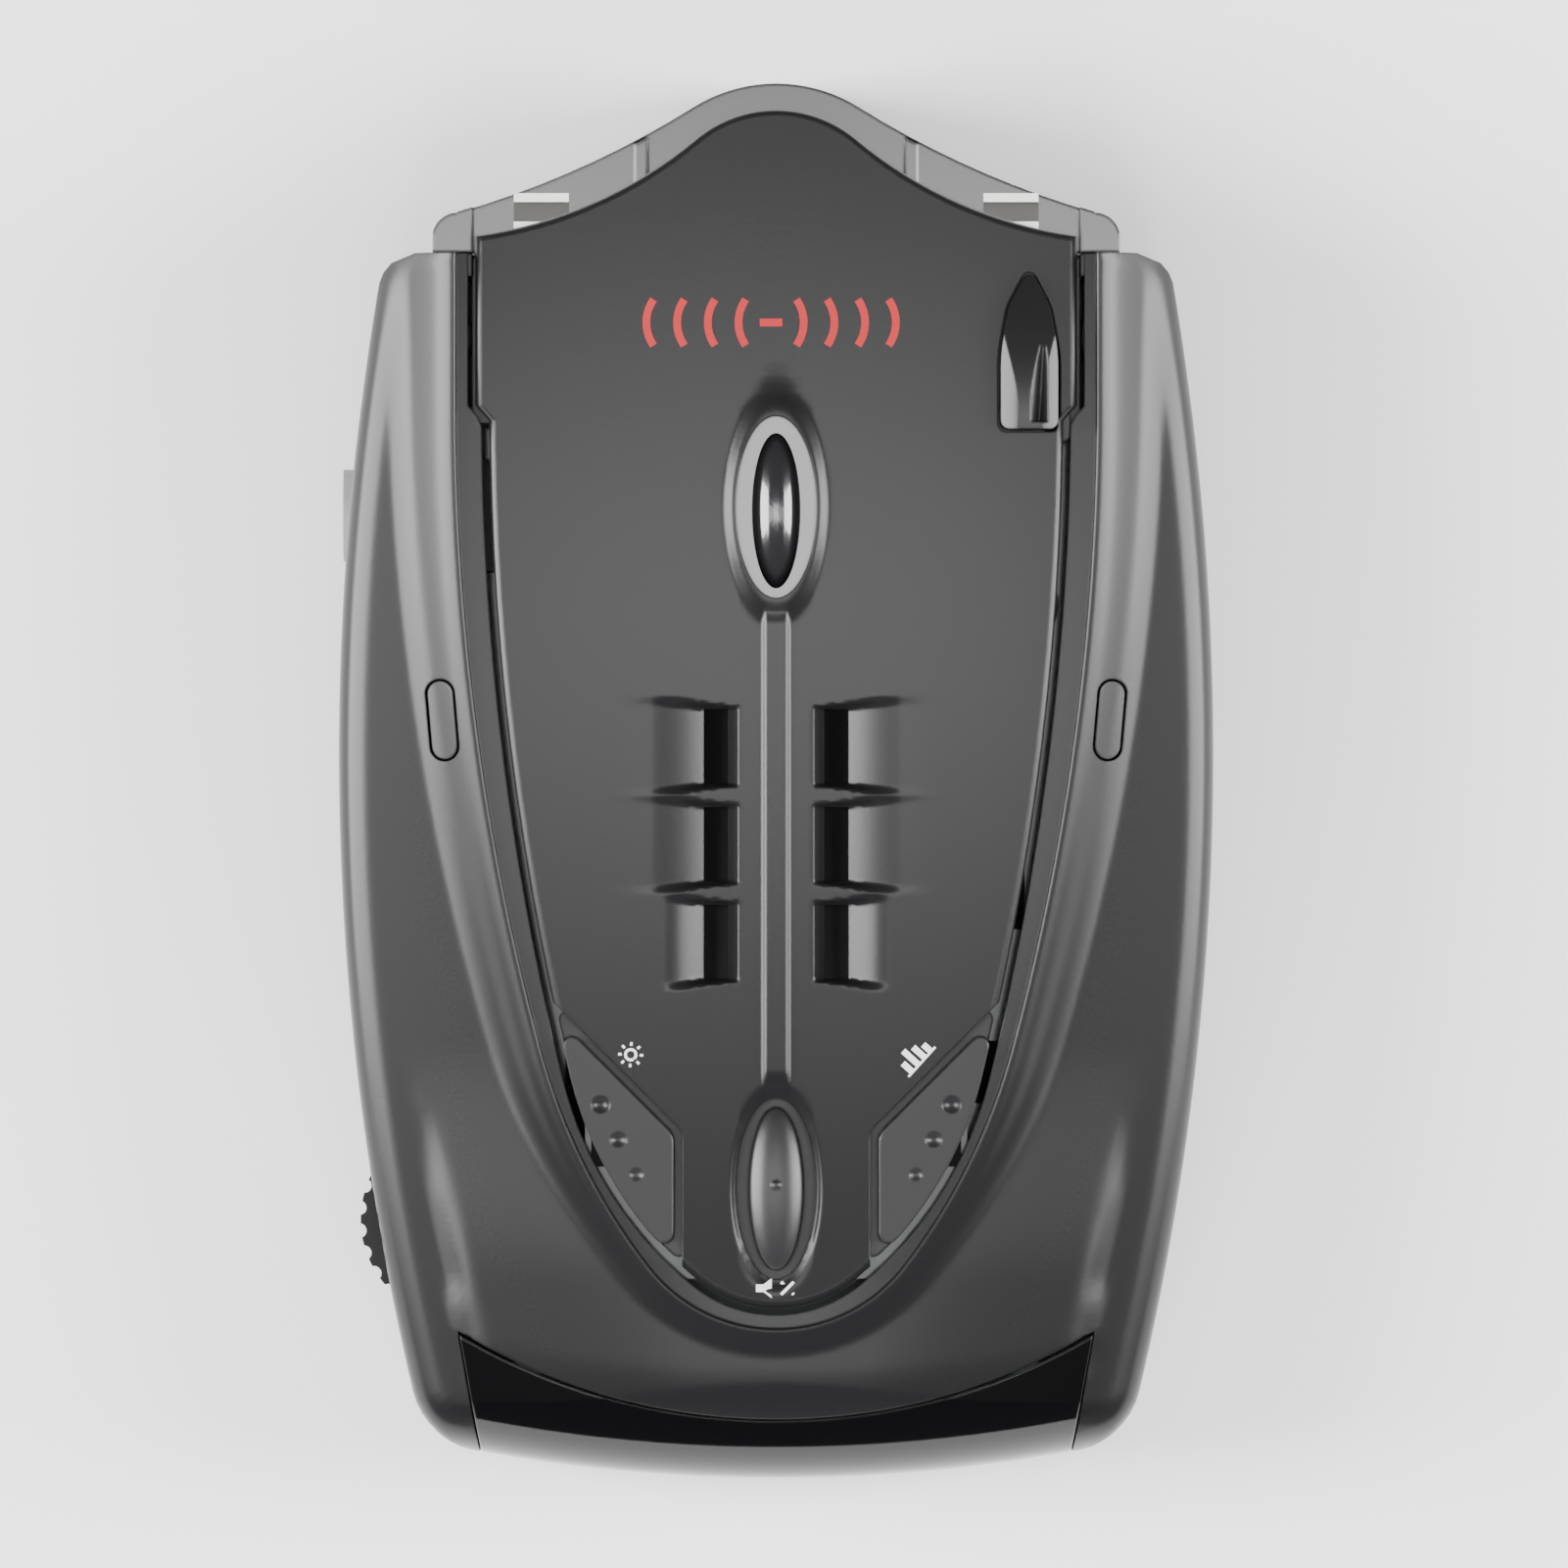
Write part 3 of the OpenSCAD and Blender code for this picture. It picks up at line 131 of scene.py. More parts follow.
@dataclass(frozen=True)
class Finish:
    """One finish: what the part is made of and how its surface was made."""

    name: str
    slot: str
    colour: str
    roughness: float
    ior: float = 1.5
    metallic: float = 0.0
    specular: float = 0.5
    coat: float = 0.0
    grain_mm: float = 0.0
    grain_depth_mm: float = 0.0
    edge_mm: float = 0.0

    def material(self) -> bpy.types.Material:
        """Makes the material.

        Returns:
            The new material, or the one of this name that was made before.
        """
        found = bpy.data.materials.get(self.name)
        if found is not None:
            return found
        made = bpy.data.materials.new(self.name)
        made.use_nodes = True
        tree = made.node_tree
        tree.nodes.clear()
        shader = add_node(
            tree,
            "ShaderNodeBsdfPrincipled",
            {
                "Base Color": to_linear(self.colour),
                "Roughness": self.roughness,
                "Metallic": self.metallic,
                "Specular IOR Level": self.specular,
                "Coat Weight": self.coat,
                "Coat Roughness": COAT_ROUGHNESS,
            },
        )
        if self.metallic == 0.0:
            shader.inputs["IOR"].default_value = self.ior
        normal = None
        if self.edge_mm > 0:
            # a mould never gives a knife edge: light rolls over the last fraction of a millimetre
            bevel = add_node(tree, "ShaderNodeBevel", {"samples": 4, "Radius": self.edge_mm * MM})
            normal = bevel.outputs["Normal"]
        if self.grain_mm > 0:
            place = add_node(tree, "ShaderNodeTexCoord")
            grain = add_node(
                tree,
                "ShaderNodeTexNoise",
                {"Scale": 1 / (self.grain_mm * MM), "Detail": 1.0, "Roughness": 0.5},
                {"Vector": place.outputs["Object"]},
            )
            links = {"Height": grain.outputs["Fac"]}
            if normal is not None:
                links["Normal"] = normal
            bump = add_node(
                tree,
                "ShaderNodeBump",
                {"Strength": 1.0, "Distance": self.grain_depth_mm * MM},
                links,
            )
            normal = bump.outputs["Normal"]
        if normal is not None:
            tree.links.new(normal, shader.inputs["Normal"])
        add_node(tree, "ShaderNodeOutputMaterial", None, {"Surface": shader.outputs["BSDF"]})
        return made


class Finishes(Enum):
    """Every finish on the detector."""

    # spark-textured ABS: a soft satin black that shows broad highlights
    CASE = Finish(
        "abs_spark_textured_black", "case_plastic", "#161617", 0.27, 1.5,
        specular=0.3, grain_mm=0.35, grain_depth_mm=0.004, edge_mm=0.22,
    )
    # the keys are the same resin from a finer mould, so slightly lighter
    KEY = Finish(
        "abs_fine_textured_grey", "key_plastic", "#222223", 0.32, 1.5,
        specular=0.4, grain_mm=0.3, grain_depth_mm=0.003, edge_mm=0.3,
    )
    # polished polycarbonate: almost no diffuse colour, sharp reflections
    NOSE = Finish(
        "polycarbonate_polished_black", "nose_plastic", "#070708", 0.12, 1.58, edge_mm=0.3,
    )
    # tinted acrylic over the display, polished on the outside
    WINDOW = Finish("acrylic_tinted_polished", "window_plastic", "#020203", 0.07, 1.49, edge_mm=0.3)
    # infra-red window: dark, glossy and slightly milky
    LENS = Finish("polycarbonate_infrared_lens", "lens_plastic", "#1a1a1c", 0.16, 1.58, coat=0.5)
    PALE = Finish("acetal_moulded_white", "pale_plastic", "#c9c8c2", 0.45, 1.48)
    GREY = Finish("nylon_moulded_grey", "grey_plastic", "#9a9a9b", 0.5, 1.53, edge_mm=0.15)
    RUBBER = Finish(
        "silicone_rubber_moulded", "foot_rubber", "#1b1b1b", 0.8, 1.41,
        grain_mm=0.5, grain_depth_mm=0.01, edge_mm=0.3,
    )
    SPRING = Finish("spring_steel_drawn", "spring_steel", "#c9c8c5", 0.28, metallic=1.0)
    SCREW = Finish("steel_zinc_plated", "screw_steel", "#bdbcb8", 0.35, metallic=1.0, edge_mm=0.1)
    BLACK_STEEL = Finish("steel_blackened", "black_steel", "#3a3a3b", 0.45, metallic=1.0)
    NICKEL = Finish("steel_nickel_plated", "nickel", "#c8c3b8", 0.2, metallic=1.0)
    TIN = Finish("steel_tin_plated", "tin_plate", "#cbcac6", 0.3, metallic=1.0, edge_mm=0.1)
    CAST = Finish(
        "zinc_die_cast", "die_cast", "#b9b9ba", 0.42, metallic=1.0,
        grain_mm=0.6, grain_depth_mm=0.01,
    )
    BOARD = Finish("glass_epoxy_solder_mask", "circuit_board", "#0f4a22", 0.35, 1.55, coat=0.3)
    CHIP = Finish("epoxy_moulded_black", "chip_epoxy", "#19191a", 0.55, 1.55)
    CAN = Finish("aluminium_sleeved_blue", "can_sleeve", "#20264f", 0.35, 1.5)
    PAPER = Finish(
        "paper_pressed_cone", "cone_paper", "#2a2a2a", 0.85, 1.45,
        grain_mm=0.5, grain_depth_mm=0.03,
    )
    CLOTH = Finish(
        "polyester_dust_cloth", "dust_mesh", "#0b0b0b", 0.9, 1.5,
        grain_mm=0.3, grain_depth_mm=0.03,
    )
    FERRITE = Finish("ferrite_sintered", "magnet", "#3a3a3a", 0.5, 1.5)
    DISPLAY = Finish("polycarbonate_display_case", "display_plastic", "#191919", 0.45, 1.55)
    # pad-printed inks: thin, matt and slightly uneven
    INK_RED = Finish("ink_pad_printed_red", "case_plastic", "#9c1016", 0.55, 1.5)
    INK_WHITE = Finish("ink_pad_printed_white", "case_plastic", "#d8d8d6", 0.55, 1.5)


# every frame node that shows; a moulding replaces the others
NODE_FINISHES: dict[str, Finishes] = {
    "speaker_clamp": Finishes.CASE,
    "mute_button": Finishes.KEY, "dim_button": Finishes.KEY, "city_button": Finishes.KEY,
    "release_button": Finishes.CASE, "volume_wheel": Finishes.RUBBER,
    "front_lens": Finishes.NOSE, "display_window": Finishes.WINDOW,
    "laser_lens": Finishes.LENS, "mute_plunger": Finishes.PALE, "dim_plunger": Finishes.PALE,
    "city_plunger": Finishes.PALE, "jack_body": Finishes.GREY, "volume_pot": Finishes.GREY,
    "rubber_feet": Finishes.RUBBER, "release_spring": Finishes.SPRING,
    "bracket_clips": Finishes.SPRING, "case_screws": Finishes.SCREW,
    "board_screws": Finishes.SCREW, "panel_screws": Finishes.SCREW,
    "volume_shaft": Finishes.NICKEL, "jack_pin_post": Finishes.NICKEL,
    "horn_antenna": Finishes.CAST, "mixer_shield": Finishes.TIN,
    "main_board": Finishes.BOARD, "key_board": Finishes.BOARD, "laser_board": Finishes.BOARD,
    "display_board": Finishes.BOARD, "board_chips": Finishes.CHIP,
    "power_capacitors": Finishes.CAN, "speaker_frame": Finishes.BLACK_STEEL,
    "speaker_cone": Finishes.PAPER, "speaker_magnet": Finishes.FERRITE,
    "speaker_mesh": Finishes.CLOTH, "key_switches": Finishes.CHIP,
    "laser_diode": Finishes.LENS, "display_module": Finishes.DISPLAY,
    "display_header": Finishes.CHIP, "front_sensor": Finishes.LENS,
}


# ---- meshes -----------------------------------------------------------------------------------


def mesh_object(name: str, points: list[Point3], faces: list[Face]) -> bpy.types.Object:
    """Makes an object with its normals facing out.

    Args:
        name: the object's name.
        points: corners, in millimetres.
        faces: indices of each face's corners.

    Returns:
        The new object, in the scene.
    """
    mesh = bpy.data.meshes.new(name)
    mesh.from_pydata([(x * MM, y * MM, z * MM) for x, y, z in points], [], faces)
    work = bmesh.new()
    work.from_mesh(mesh)
    bmesh.ops.recalc_face_normals(work, faces=work.faces)
    work.to_mesh(mesh)
    work.free()
    made = bpy.data.objects.new(name, mesh)
    bpy.context.scene.collection.objects.link(made)
    return made


def ring_faces(a: int, b: int, n: int) -> list[Face]:
    """Quads between two closed rings of n points, which start at indices a and b."""
    return [(a + i, a + (i + 1) % n, b + (i + 1) % n, b + i) for i in range(n)]


def block_faces(base: int, n: int) -> list[Face]:
    """Faces of an upright block: a lower ring of n points from index base, then an upper one."""
    lower = tuple(base + i for i in reversed(range(n)))
    return [lower, tuple(base + n + i for i in range(n)), *ring_faces(base, base + n, n)]


def slab_faces(columns: int, rows: int) -> list[Face]:
    """Faces of a closed slab: an upper grid of points row by row, then the same grid below it.

    Args:
        columns: number of points in a row.
        rows: number of rows.

    Returns:
        The quads of both grids, then those of the rim.
    """
    flat, faces = columns * rows, []
    for j in range(rows - 1):
        for i in range(columns - 1):
            a = j * columns + i
            quad = (a, a + 1, a + columns + 1, a + columns)
            faces += [quad, tuple(flat + q for q in reversed(quad))]
    rim = list(range(columns)) + [j * columns + columns - 1 for j in range(1, rows)]
    rim += [(rows - 1) * columns + i for i in reversed(range(columns - 1))]
    rim += [j * columns for j in reversed(range(1, rows - 1))]
    return faces + [(a, flat + a, flat + b, b) for a, b in zip(rim, rim[1:] + rim[:1])]


def prisms(name: str, cuts: list[Cut]) -> bpy.types.Object:
    """Makes upright blocks.

    Args:
        name: the object's name.
        cuts: each block's outline with its lower and upper height.

    Returns:
        One object that holds every block.
    """
    points: list[Point3] = []
    faces: list[Face] = []
    for outline, low, high in cuts:
        faces += block_faces(len(points), len(outline))
        points += [(x, y, low) for x, y in outline] + [(x, y, high) for x, y in outline]
    return mesh_object(name, points, faces)


def carve(piece: bpy.types.Object, tool: bpy.types.Object, operation: str = "DIFFERENCE") -> None:
    """Cuts piece with a tool body, which is then removed.

    Args:
        piece: the object to cut.
        tool: the closed body that cuts it.
        operation: Blender's name of the boolean operation.
    """
    modifier = piece.modifiers.new("carve", "BOOLEAN")
    modifier.operation = operation
    modifier.object = tool
    modifier.solver = "EXACT"
    view = bpy.context.evaluated_depsgraph_get()
    cut = bpy.data.meshes.new_from_object(piece.evaluated_get(view))
    piece.modifiers.clear()
    piece.data = cut
    bpy.data.objects.remove(tool, do_unlink=True)


def soften(piece: bpy.types.Object, angle: float = 32.0) -> None:
    """Shades piece smooth except at its sharp edges.

    Args:
        piece: the object to shade.
        angle: angle between faces, in degrees, above which an edge is sharp.
    """
    work = bmesh.new()
    work.from_mesh(piece.data)
    bmesh.ops.remove_doubles(work, verts=work.verts, dist=WELD_MM * MM)
    for face in work.faces:
        face.smooth = True
    for edge in work.edges:
        if len(edge.link_faces) == 2:
            edge.smooth = edge.calc_face_angle(0.0) < math.radians(angle)
    work.to_mesh(piece.data)
    work.free()


def dress(piece: bpy.types.Object, finish: Finishes, body: str = "case") -> bpy.types.Object:
    """Gives a piece its finish and the body it rides on.

    Args:
        piece: the object to dress.
        finish: what it is made of.
        body: name of the frame's body that carries it.

    Returns:
        The same object.
    """
    piece.data.materials.clear()
    piece.data.materials.append(finish.value.material())
    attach(piece, body)
    LOG.info("%s: %d faces, %s, rides on %s", piece.name, len(piece.data.polygons),
             finish.value.name, body)
    return piece


def join(parts: list[bpy.types.Object]) -> bpy.types.Object:
    """Joins parts.

    Args:
        parts: objects to join, which are removed apart from the first.

    Returns:
        The first object, which now holds them all.
    """
    work = bmesh.new()
    for part in parts:
        work.from_mesh(part.data)
    work.to_mesh(parts[0].data)
    work.free()
    for part in parts[1:]:
        bpy.data.objects.remove(part, do_unlink=True)
    return parts[0]


# ---- outlines ---------------------------------------------------------------------------------


def middle(node: str) -> Point2:
    """Centre of a frame node, seen from above."""
    low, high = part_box(node)
    return (low.x + high.x) / 2 / MM, (low.y + high.y) / 2 / MM


def smooth_min(a: float, b: float, width: float) -> float:
    """Smaller of two heights, blended over a width."""
    h = max(width - abs(a - b), 0.0) / width
    return min(a, b) - h * h * width / 4


def smooth_max(a: float, b: float, width: float) -> float:
    """Larger of two heights, blended over a width."""
    return -smooth_min(-a, -b, width)


def ramp(value: float, start: float, end: float) -> float:
    """Runs smoothly from 0 at start to 1 at end."""
    t = min(1.0, max(0.0, (value - start) / (end - start)))
    return t * t * (3 - 2 * t)


def roll(depth: float, r: float) -> float:
    """Height of a quarter-round edge of radius r, at a depth inward from its foot."""
    return math.sqrt(max(0.0, r * r - (r - max(0.0, depth)) ** 2))


def oval(width: float, length: float, y: float, steps: int = 96) -> Outline:
    """Outline of an upright oval on the centre line."""
    turn = [math.tau * i / steps for i in range(steps)]
    return [(width / 2 * math.cos(a), y + length / 2 * math.sin(a)) for a in turn]


def block(x0: float, x1: float, y0: float, y1: float) -> Outline:
    """Outline of a rectangle."""
    return [(x0, y0), (x1, y0), (x1, y1), (x0, y1)]


def rounded(corners: list[Point3], steps: int = 6) -> Outline:
    """Outline through corners that are each rounded by their own radius.

    Args:
        corners: x, y and radius of each corner.
        steps: number of steps round a corner.

    Returns:
        The rounded outline.
    """
    made: Outline = []
    for i, (x, y, r) in enumerate(corners):
        b = Vector((x, y))
        if r <= 0:
            made.append((x, y))
            continue
        u = (Vector(corners[i - 1][:2]) - b).normalized()
        v = (Vector(corners[(i + 1) % len(corners)][:2]) - b).normalized()
        half = u.angle(v) / 2
        centre = b + (u + v).normalized() * (r / math.sin(half))
        start = b + u * (r / math.tan(half)) - centre
        end = b + v * (r / math.tan(half)) - centre
        first = math.atan2(start.y, start.x)
        turn = math.atan2(start.x * end.y - start.y * end.x, start.dot(end))
        made += [
            (centre.x + r * math.cos(first + turn * s / steps),
             centre.y + r * math.sin(first + turn * s / steps))
            for s in range(steps + 1)
        ]
    return made


@dataclass(frozen=True)
class Drop:
    """Drop-shaped outline: three tangent arcs a side, from the rear tip to the widest point."""

    half: float
    tip: float
    top: float
    tip_r: float
    first: float
    second: float

    def arcs(self) -> list[tuple[float, float, float, float]]:
        """Works out the three arcs, each tangent to the next, of the right-hand side.

        Returns:
            Centre x, centre y, radius and end angle in degrees of each arc.
        """
        t1, t2 = math.radians(self.first), math.radians(self.second)
        s1, c1, s2, c2 = math.sin(t1), math.cos(t1), math.sin(t2), math.cos(t2)
        a = self.half - self.tip_r * s1
        b = self.top - self.tip - self.tip_r + self.tip_r * c1
        det = (s2 - s1) * c2 - (1 - s2) * (c1 - c2)
        r1 = (a * c2 - (1 - s2) * b) / det
        r2 = ((s2 - s1) * b - (c1 - c2) * a) / det
        x1, y1 = 0.0, self.tip + self.tip_r
        x2, y2 = x1 + (self.tip_r - r1) * s1, y1 - (self.tip_r - r1) * c1
        x3, y3 = x2 + (r1 - r2) * s2, y2 - (r1 - r2) * c2
        return [(x1, y1, self.tip_r, self.first), (x2, y2, r1, self.second), (x3, y3, r2, 90.0)]

    def rays(self, steps: tuple[int, int, int], front: float, more: int) -> list[Ray]:
        """Points of the right-hand side with their outward directions, from tip to front.

        Args:
            steps: number of steps on each arc.
            front: y where the straight end of the outline stops.
            more: number of steps on the straight end.

        Returns:
            (x, y, direction x, direction y) of each point.
        """
        made, angle = [], 0.0
        for (x, y, r, end), count in zip(self.arcs(), steps):
            for i in range(0 if not made else 1, count + 1):
                t = math.radians(angle + (end - angle) * i / count)
                made.append((x + r * math.sin(t), y - r * math.cos(t), math.sin(t), -math.cos(t)))
            angle = end
        made += [(self.half, self.top + (front - self.top) * i / more, 1.0, 0.0)
                 for i in range(1, more + 1)]
        return made

    def side(self, grow: float, steps: int = 14) -> Outline:
        """Right-hand side, grown, from the rear tip to the widest point."""
        rays = self.rays((steps, steps, steps), self.top + 1, 1)[:-1]
        return [(x + dx * grow, y + dy * grow) for x, y, dx, dy in rays]

    def distance(self, x: float, y: float) -> float:
        """Distance of a point outside the outline.

        Args:
            x: the point's x, on either side.
            y: the point's y.

        Returns:
            The distance, negative inside.
        """
        x = abs(x)
        if y > self.top:
            return x - self.half
        for cx, cy, r, end in self.arcs():
            angle = math.degrees(math.atan2(x - cx, cy - y))
            if angle <= end + 1e-6 or end == 90.0:
                return math.hypot(x - cx, y - cy) - r
        return x - self.half


PANEL_OUTLINE = Drop(half=22.9, tip=-42.0, top=30.0, tip_r=10.0, first=39.6, second=76.2)


@dataclass(frozen=True)
class Layout:
    """Driving sizes shared by the mouldings, in millimetres."""

    half_w: float = CAD_BOX[1].x / MM
    rear_y: float = CAD_BOX[0].y / MM
    nose_y: float = CAD_BOX[1].y / MM
    joint_z: float = 15.0
    hood_z: float = 27.4
    panel_z0: float = 29.6
    side_y: float = 2.0
    side_r: float = 222.0
    rear_r: float = 130.0
    tilt: float = math.tan(math.radians(1.6))
    wall: float = 1.8
    # twice the radii of the panel's crown, across and along
    crown_x: float = 520.0
    crown_y: float = 1400.0
    wing_y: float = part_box("upper_shell")[1].y / MM
    # the panel widens from its rear width to its front width between these two
    notch_y: float = wing_y - 13.4
    turn_y: float = wing_y - 12.2

    def crown(self, x: float, y: float) -> float:
        """Height of the centre panel's crown."""
        return self.panel_z0 - x * x / self.crown_x - y * y / self.crown_y + y * self.tilt


# ---- upper shell ------------------------------------------------------------------------------


@dataclass
class UpperShell:
    """Upper half of the case: bowed wings, hood, and the soft bead round the panel seat."""

    size: Layout
    lip: Drop = Drop(half=25.55, tip=-43.7, top=30.0, tip_r=12.8, first=52.1, second=75.0)
    gap: float = 0.6
    rear_corner: float = 3.5
    front_corner: float = 2.5
    wing_drop: float = 6.03
    wing_slope: float = math.radians(12)
    edge_roll: float = 3.0
    # twice the radius of the hood's barrel
    barrel: float = 400.0
    rear_roll: float = 9.0
    roll_lift: float = 0.05
    hood_blend: float = 1.2
    bead_blend: float = 1.1
    shoulder: float = 0.55
    shoulder_start: float = 21.0
    shoulder_full: float = 40.0
    bead_z: float = 28.5
    bead_edge_r: float = 0.22
    bead_flat: float = 0.85
    bead_soft: float = 0.7
    bead_fall: float = 1.15
    bead_lift: float = 0.12
    # distances outside the lip at which a section follows the bead
    bead_spots: tuple[float, ...] = (
        0.0, 0.04, 0.11, 0.22, 0.45, 0.7, 0.9, 1.1, 1.3, 1.55, 1.8, 2.1, 2.4, 2.7, 3.05, 3.4,
    )
    farthest: float = 60.0
    seat_drop: float = 0.9
    seat_thick: float = 1.5
    front_widening: float = 1.1
    window_low: float = 22.85
    window_high: float = 25.3
    window_rise: float = 4.8
    window_arch: float = 50.0
    window_gap: float = 0.16
    wheel_slot_r: float = 8.25
    wheel_slot_top: float = 18.1
    plug_r: float = 1.02
    plug_hole_r: float = 1.2
    plug_sink: float = 0.12

    def flank_depth(self, x: float, y: float) -> float:
        """Distance inward from the bowed flank.

        Args:
            x: the point's x, on either side.
            y: the point's y.

        Returns:
            The distance, negative outside.
        """
        s = self.size
        corner = 0.0
        if y > s.wing_y - self.front_corner:
            up = min(self.front_corner, y - s.wing_y + self.front_corner)
            corner = self.front_corner - math.sqrt(self.front_corner**2 - up * up)
        reach = math.hypot(abs(x) - s.half_w + s.side_r, y - s.side_y)
        return s.side_r - reach - corner

    def rear_depth(self, x: float, y: float) -> float:
        """Distance inward from the bowed display end."""
        s = self.size
        return s.rear_r - math.hypot(x, y - s.rear_y - s.rear_r)

    def depth(self, x: float, y: float) -> float:
        """Distance inward from the whole outline, with its rear corners rounded.

        Args:
            x: the point's x, on either side.
            y: the point's y.

        Returns:
            The distance, negative outside.
        """
        a, b, r = self.flank_depth(x, y), self.rear_depth(x, y), self.rear_corner
        if a < r and b < r:
            return r - math.hypot(r - a, r - b)
        return min(a, b)

    def wing(self, x: float, y: float) -> float:
        """Height of the sloping wing and its rolled edge.

        Args:
            x: the point's x.
            y: the point's y.

        Returns:
            The height.
        """
        s, r = self.size, self.edge_roll
        depth, slope = self.depth(x, y), self.wing_slope
        start = r - r * math.sin(slope)
        base = s.hood_z - self.wing_drop
        flat = base + r * math.cos(slope) + (self.flank_depth(x, y) - start) * math.tan(slope)
        if depth < start:
            flat = min(flat, base + roll(depth, r))
        return flat + y * s.tilt

    def hood(self, x: float, y: float) -> float:
        """Height of the hood: a wide barrel that rolls over at the display end.

        Args:
            x: the point's x.
            y: the point's y.

        Returns:
            The height.
        """
        s, r = self.size, self.rear_roll
        barrel = s.hood_z - x * x / self.barrel + y * s.tilt
        depth = self.rear_depth(x, y)
        if depth >= r:
            return barrel
        top = s.hood_z + (s.rear_y + r) * s.tilt + self.roll_lift
        return min(barrel, top - r + roll(depth, r))

    def hood_shoulder(self, x: float, y: float) -> float:
        """Rise of the hood above the flanks, from nothing to its full height at the window.

        Args:
            x: the point's x, on either side.
            y: the point's y.

        Returns:
            The height above the flanks.
        """
        if y > -self.shoulder_start:
            return 0.0
        # the crease leans outward and flares toward the front
        start, lean, flare = 27.7, 0.181, 0.03
        inside = start + (y + 30) * lean + flare * max(0.0, y + 28) ** 2 - abs(x)
        grown = self.shoulder * ramp(-y, self.shoulder_start, self.shoulder_full)
        # its foot is crisp and its top soft
        crisp, soft = 0.3, 1.9
        step = 0.45 * ramp(inside, 0.0, soft) + 0.55 * ramp(inside, 0.0, crisp)
        return grown * step * ramp(self.rear_depth(x, y), 0.5, self.rear_roll)

    def bead(self, out: float, y: float) -> float:
        """Height of the bead: crisp inside, soft outside.

        Args:
            out: distance outside the lip.
            y: the point's y.

        Returns:
            The height.
        """
        r, soft = self.bead_edge_r, self.bead_soft
        fall = r - roll(out, r) if out < r else 0.0
        t = out - self.bead_flat
        fall += self.bead_fall * (t + math.sqrt(t * t + soft * soft)) / 2 - self.bead_lift
        return self.bead_z + y * self.size.tilt - fall

    def top(self, x: float, y: float, out: float) -> float:
        """Height of the finished surface."""
        body = smooth_min(self.wing(x, y), self.hood(x, y), self.hood_blend)
        return smooth_max(body + self.hood_shoulder(x, y), self.bead(out, y), self.bead_blend)

    def panel_distance(self, x: float, y: float) -> float:
        """Distance outside the panel's outline, with the wider front part.

        Args:
            x: the point's x, on the right-hand side.
            y: the point's y.

        Returns:
            The distance, negative inside.
        """
        notch, turn = self.size.notch_y, self.size.turn_y
        if y <= notch:
            return PANEL_OUTLINE.distance(x, y)
        wide = PANEL_OUTLINE.half + self.front_widening * min(1.0, (y - notch) / (turn - notch))
        return x - wide

    @staticmethod
    def reach(ray: Ray, low: float, high: float, test: Callable[[float, float], bool]) -> float:
        """Finds where a test turns true along a ray, by halving.

        Args:
            ray: where to start, and the direction.
            low: a distance at which the test is false.
            high: a distance at which it is true.
            test: takes a point's x and y.

        Returns:
            The distance along the ray.
        """
        x, y, dx, dy = ray
        for _ in range(40):
            mid = (low + high) / 2
            if test(x + dx * mid, y + dy * mid):
                high = mid
            else:
                low = mid
        return (low + high) / 2

    def section(self, ray: Ray) -> list[Point3]:
        """Closed cross-section of the wall along one ray.

        Args:
            ray: a point of the lip, and the direction away from the panel.

        Returns:
            Points of the section, seat edge first, then over the top and back below it.
        """
        x, y, dx, dy = ray
        s, bead_end = self.size, self.bead_spots[-1]
        edge = self.reach(ray, 0.0, self.farthest, lambda a, b: self.depth(a, b) < 0)
        inner = -self.reach((x, y, -dx, -dy), 0.2, bead_end,
                            lambda a, b: self.panel_distance(a, b) < self.gap)
        # where the wing is narrow, bead, roll and wall take only these shares of the way out
        bead_share, roll_share, wall_share = 0.62, 0.36, 0.3
        near = min(1.0, bead_share * edge / bead_end)
        outs = [near * q for q in self.bead_spots]
        far_roll = min(self.rear_roll, roll_share * edge)
        steps, first, last = 14, outs[-1], edge - far_roll
        outs += [first + (last - first) * (i + 1) / steps for i in range(steps)]
        outs += [edge - far_roll * (1 - math.sin(math.pi / 2 * (i + 1) / steps))
                 for i in range(steps)]

        def at(q: float, z: float) -> Point3:
            """Point at a distance along the ray."""
            return x + dx * q, y + dy * q, z

        def height(q: float) -> float:
            """Height of the finished surface at a distance along the ray."""
            return self.top(x + dx * q, y + dy * q, q)

        floor = s.crown(x, y) - self.seat_drop
        low = floor - self.seat_thick
        wall = min(s.wall, wall_share * edge)
        made = [at(inner, low), at(inner, floor), at(-0.02, floor)]
        made += [at(q, height(q)) for q in outs]
        made += [at(edge, s.joint_z + 0.12), at(edge - 0.3, s.joint_z), at(edge - wall, s.joint_z)]
        start = edge - wall
        made.append(at(start, height(max(0.0, start - 0.6)) - wall * 1.5))
        made += [
            at(q, min(height(q) - wall, low + 4))
            for q in (0.7 + (start - 0.7) * f for f in (0.8, 0.55, 0.3, 0.12))
        ]
        made.append(at(0.3, low))
        return made

    def side(self) -> list[Ray]:
        """Rays that leave the right-hand side of the lip, from the rear tip to the front."""
        return self.lip.rays((44, 30, 64), self.size.wing_y, 16)

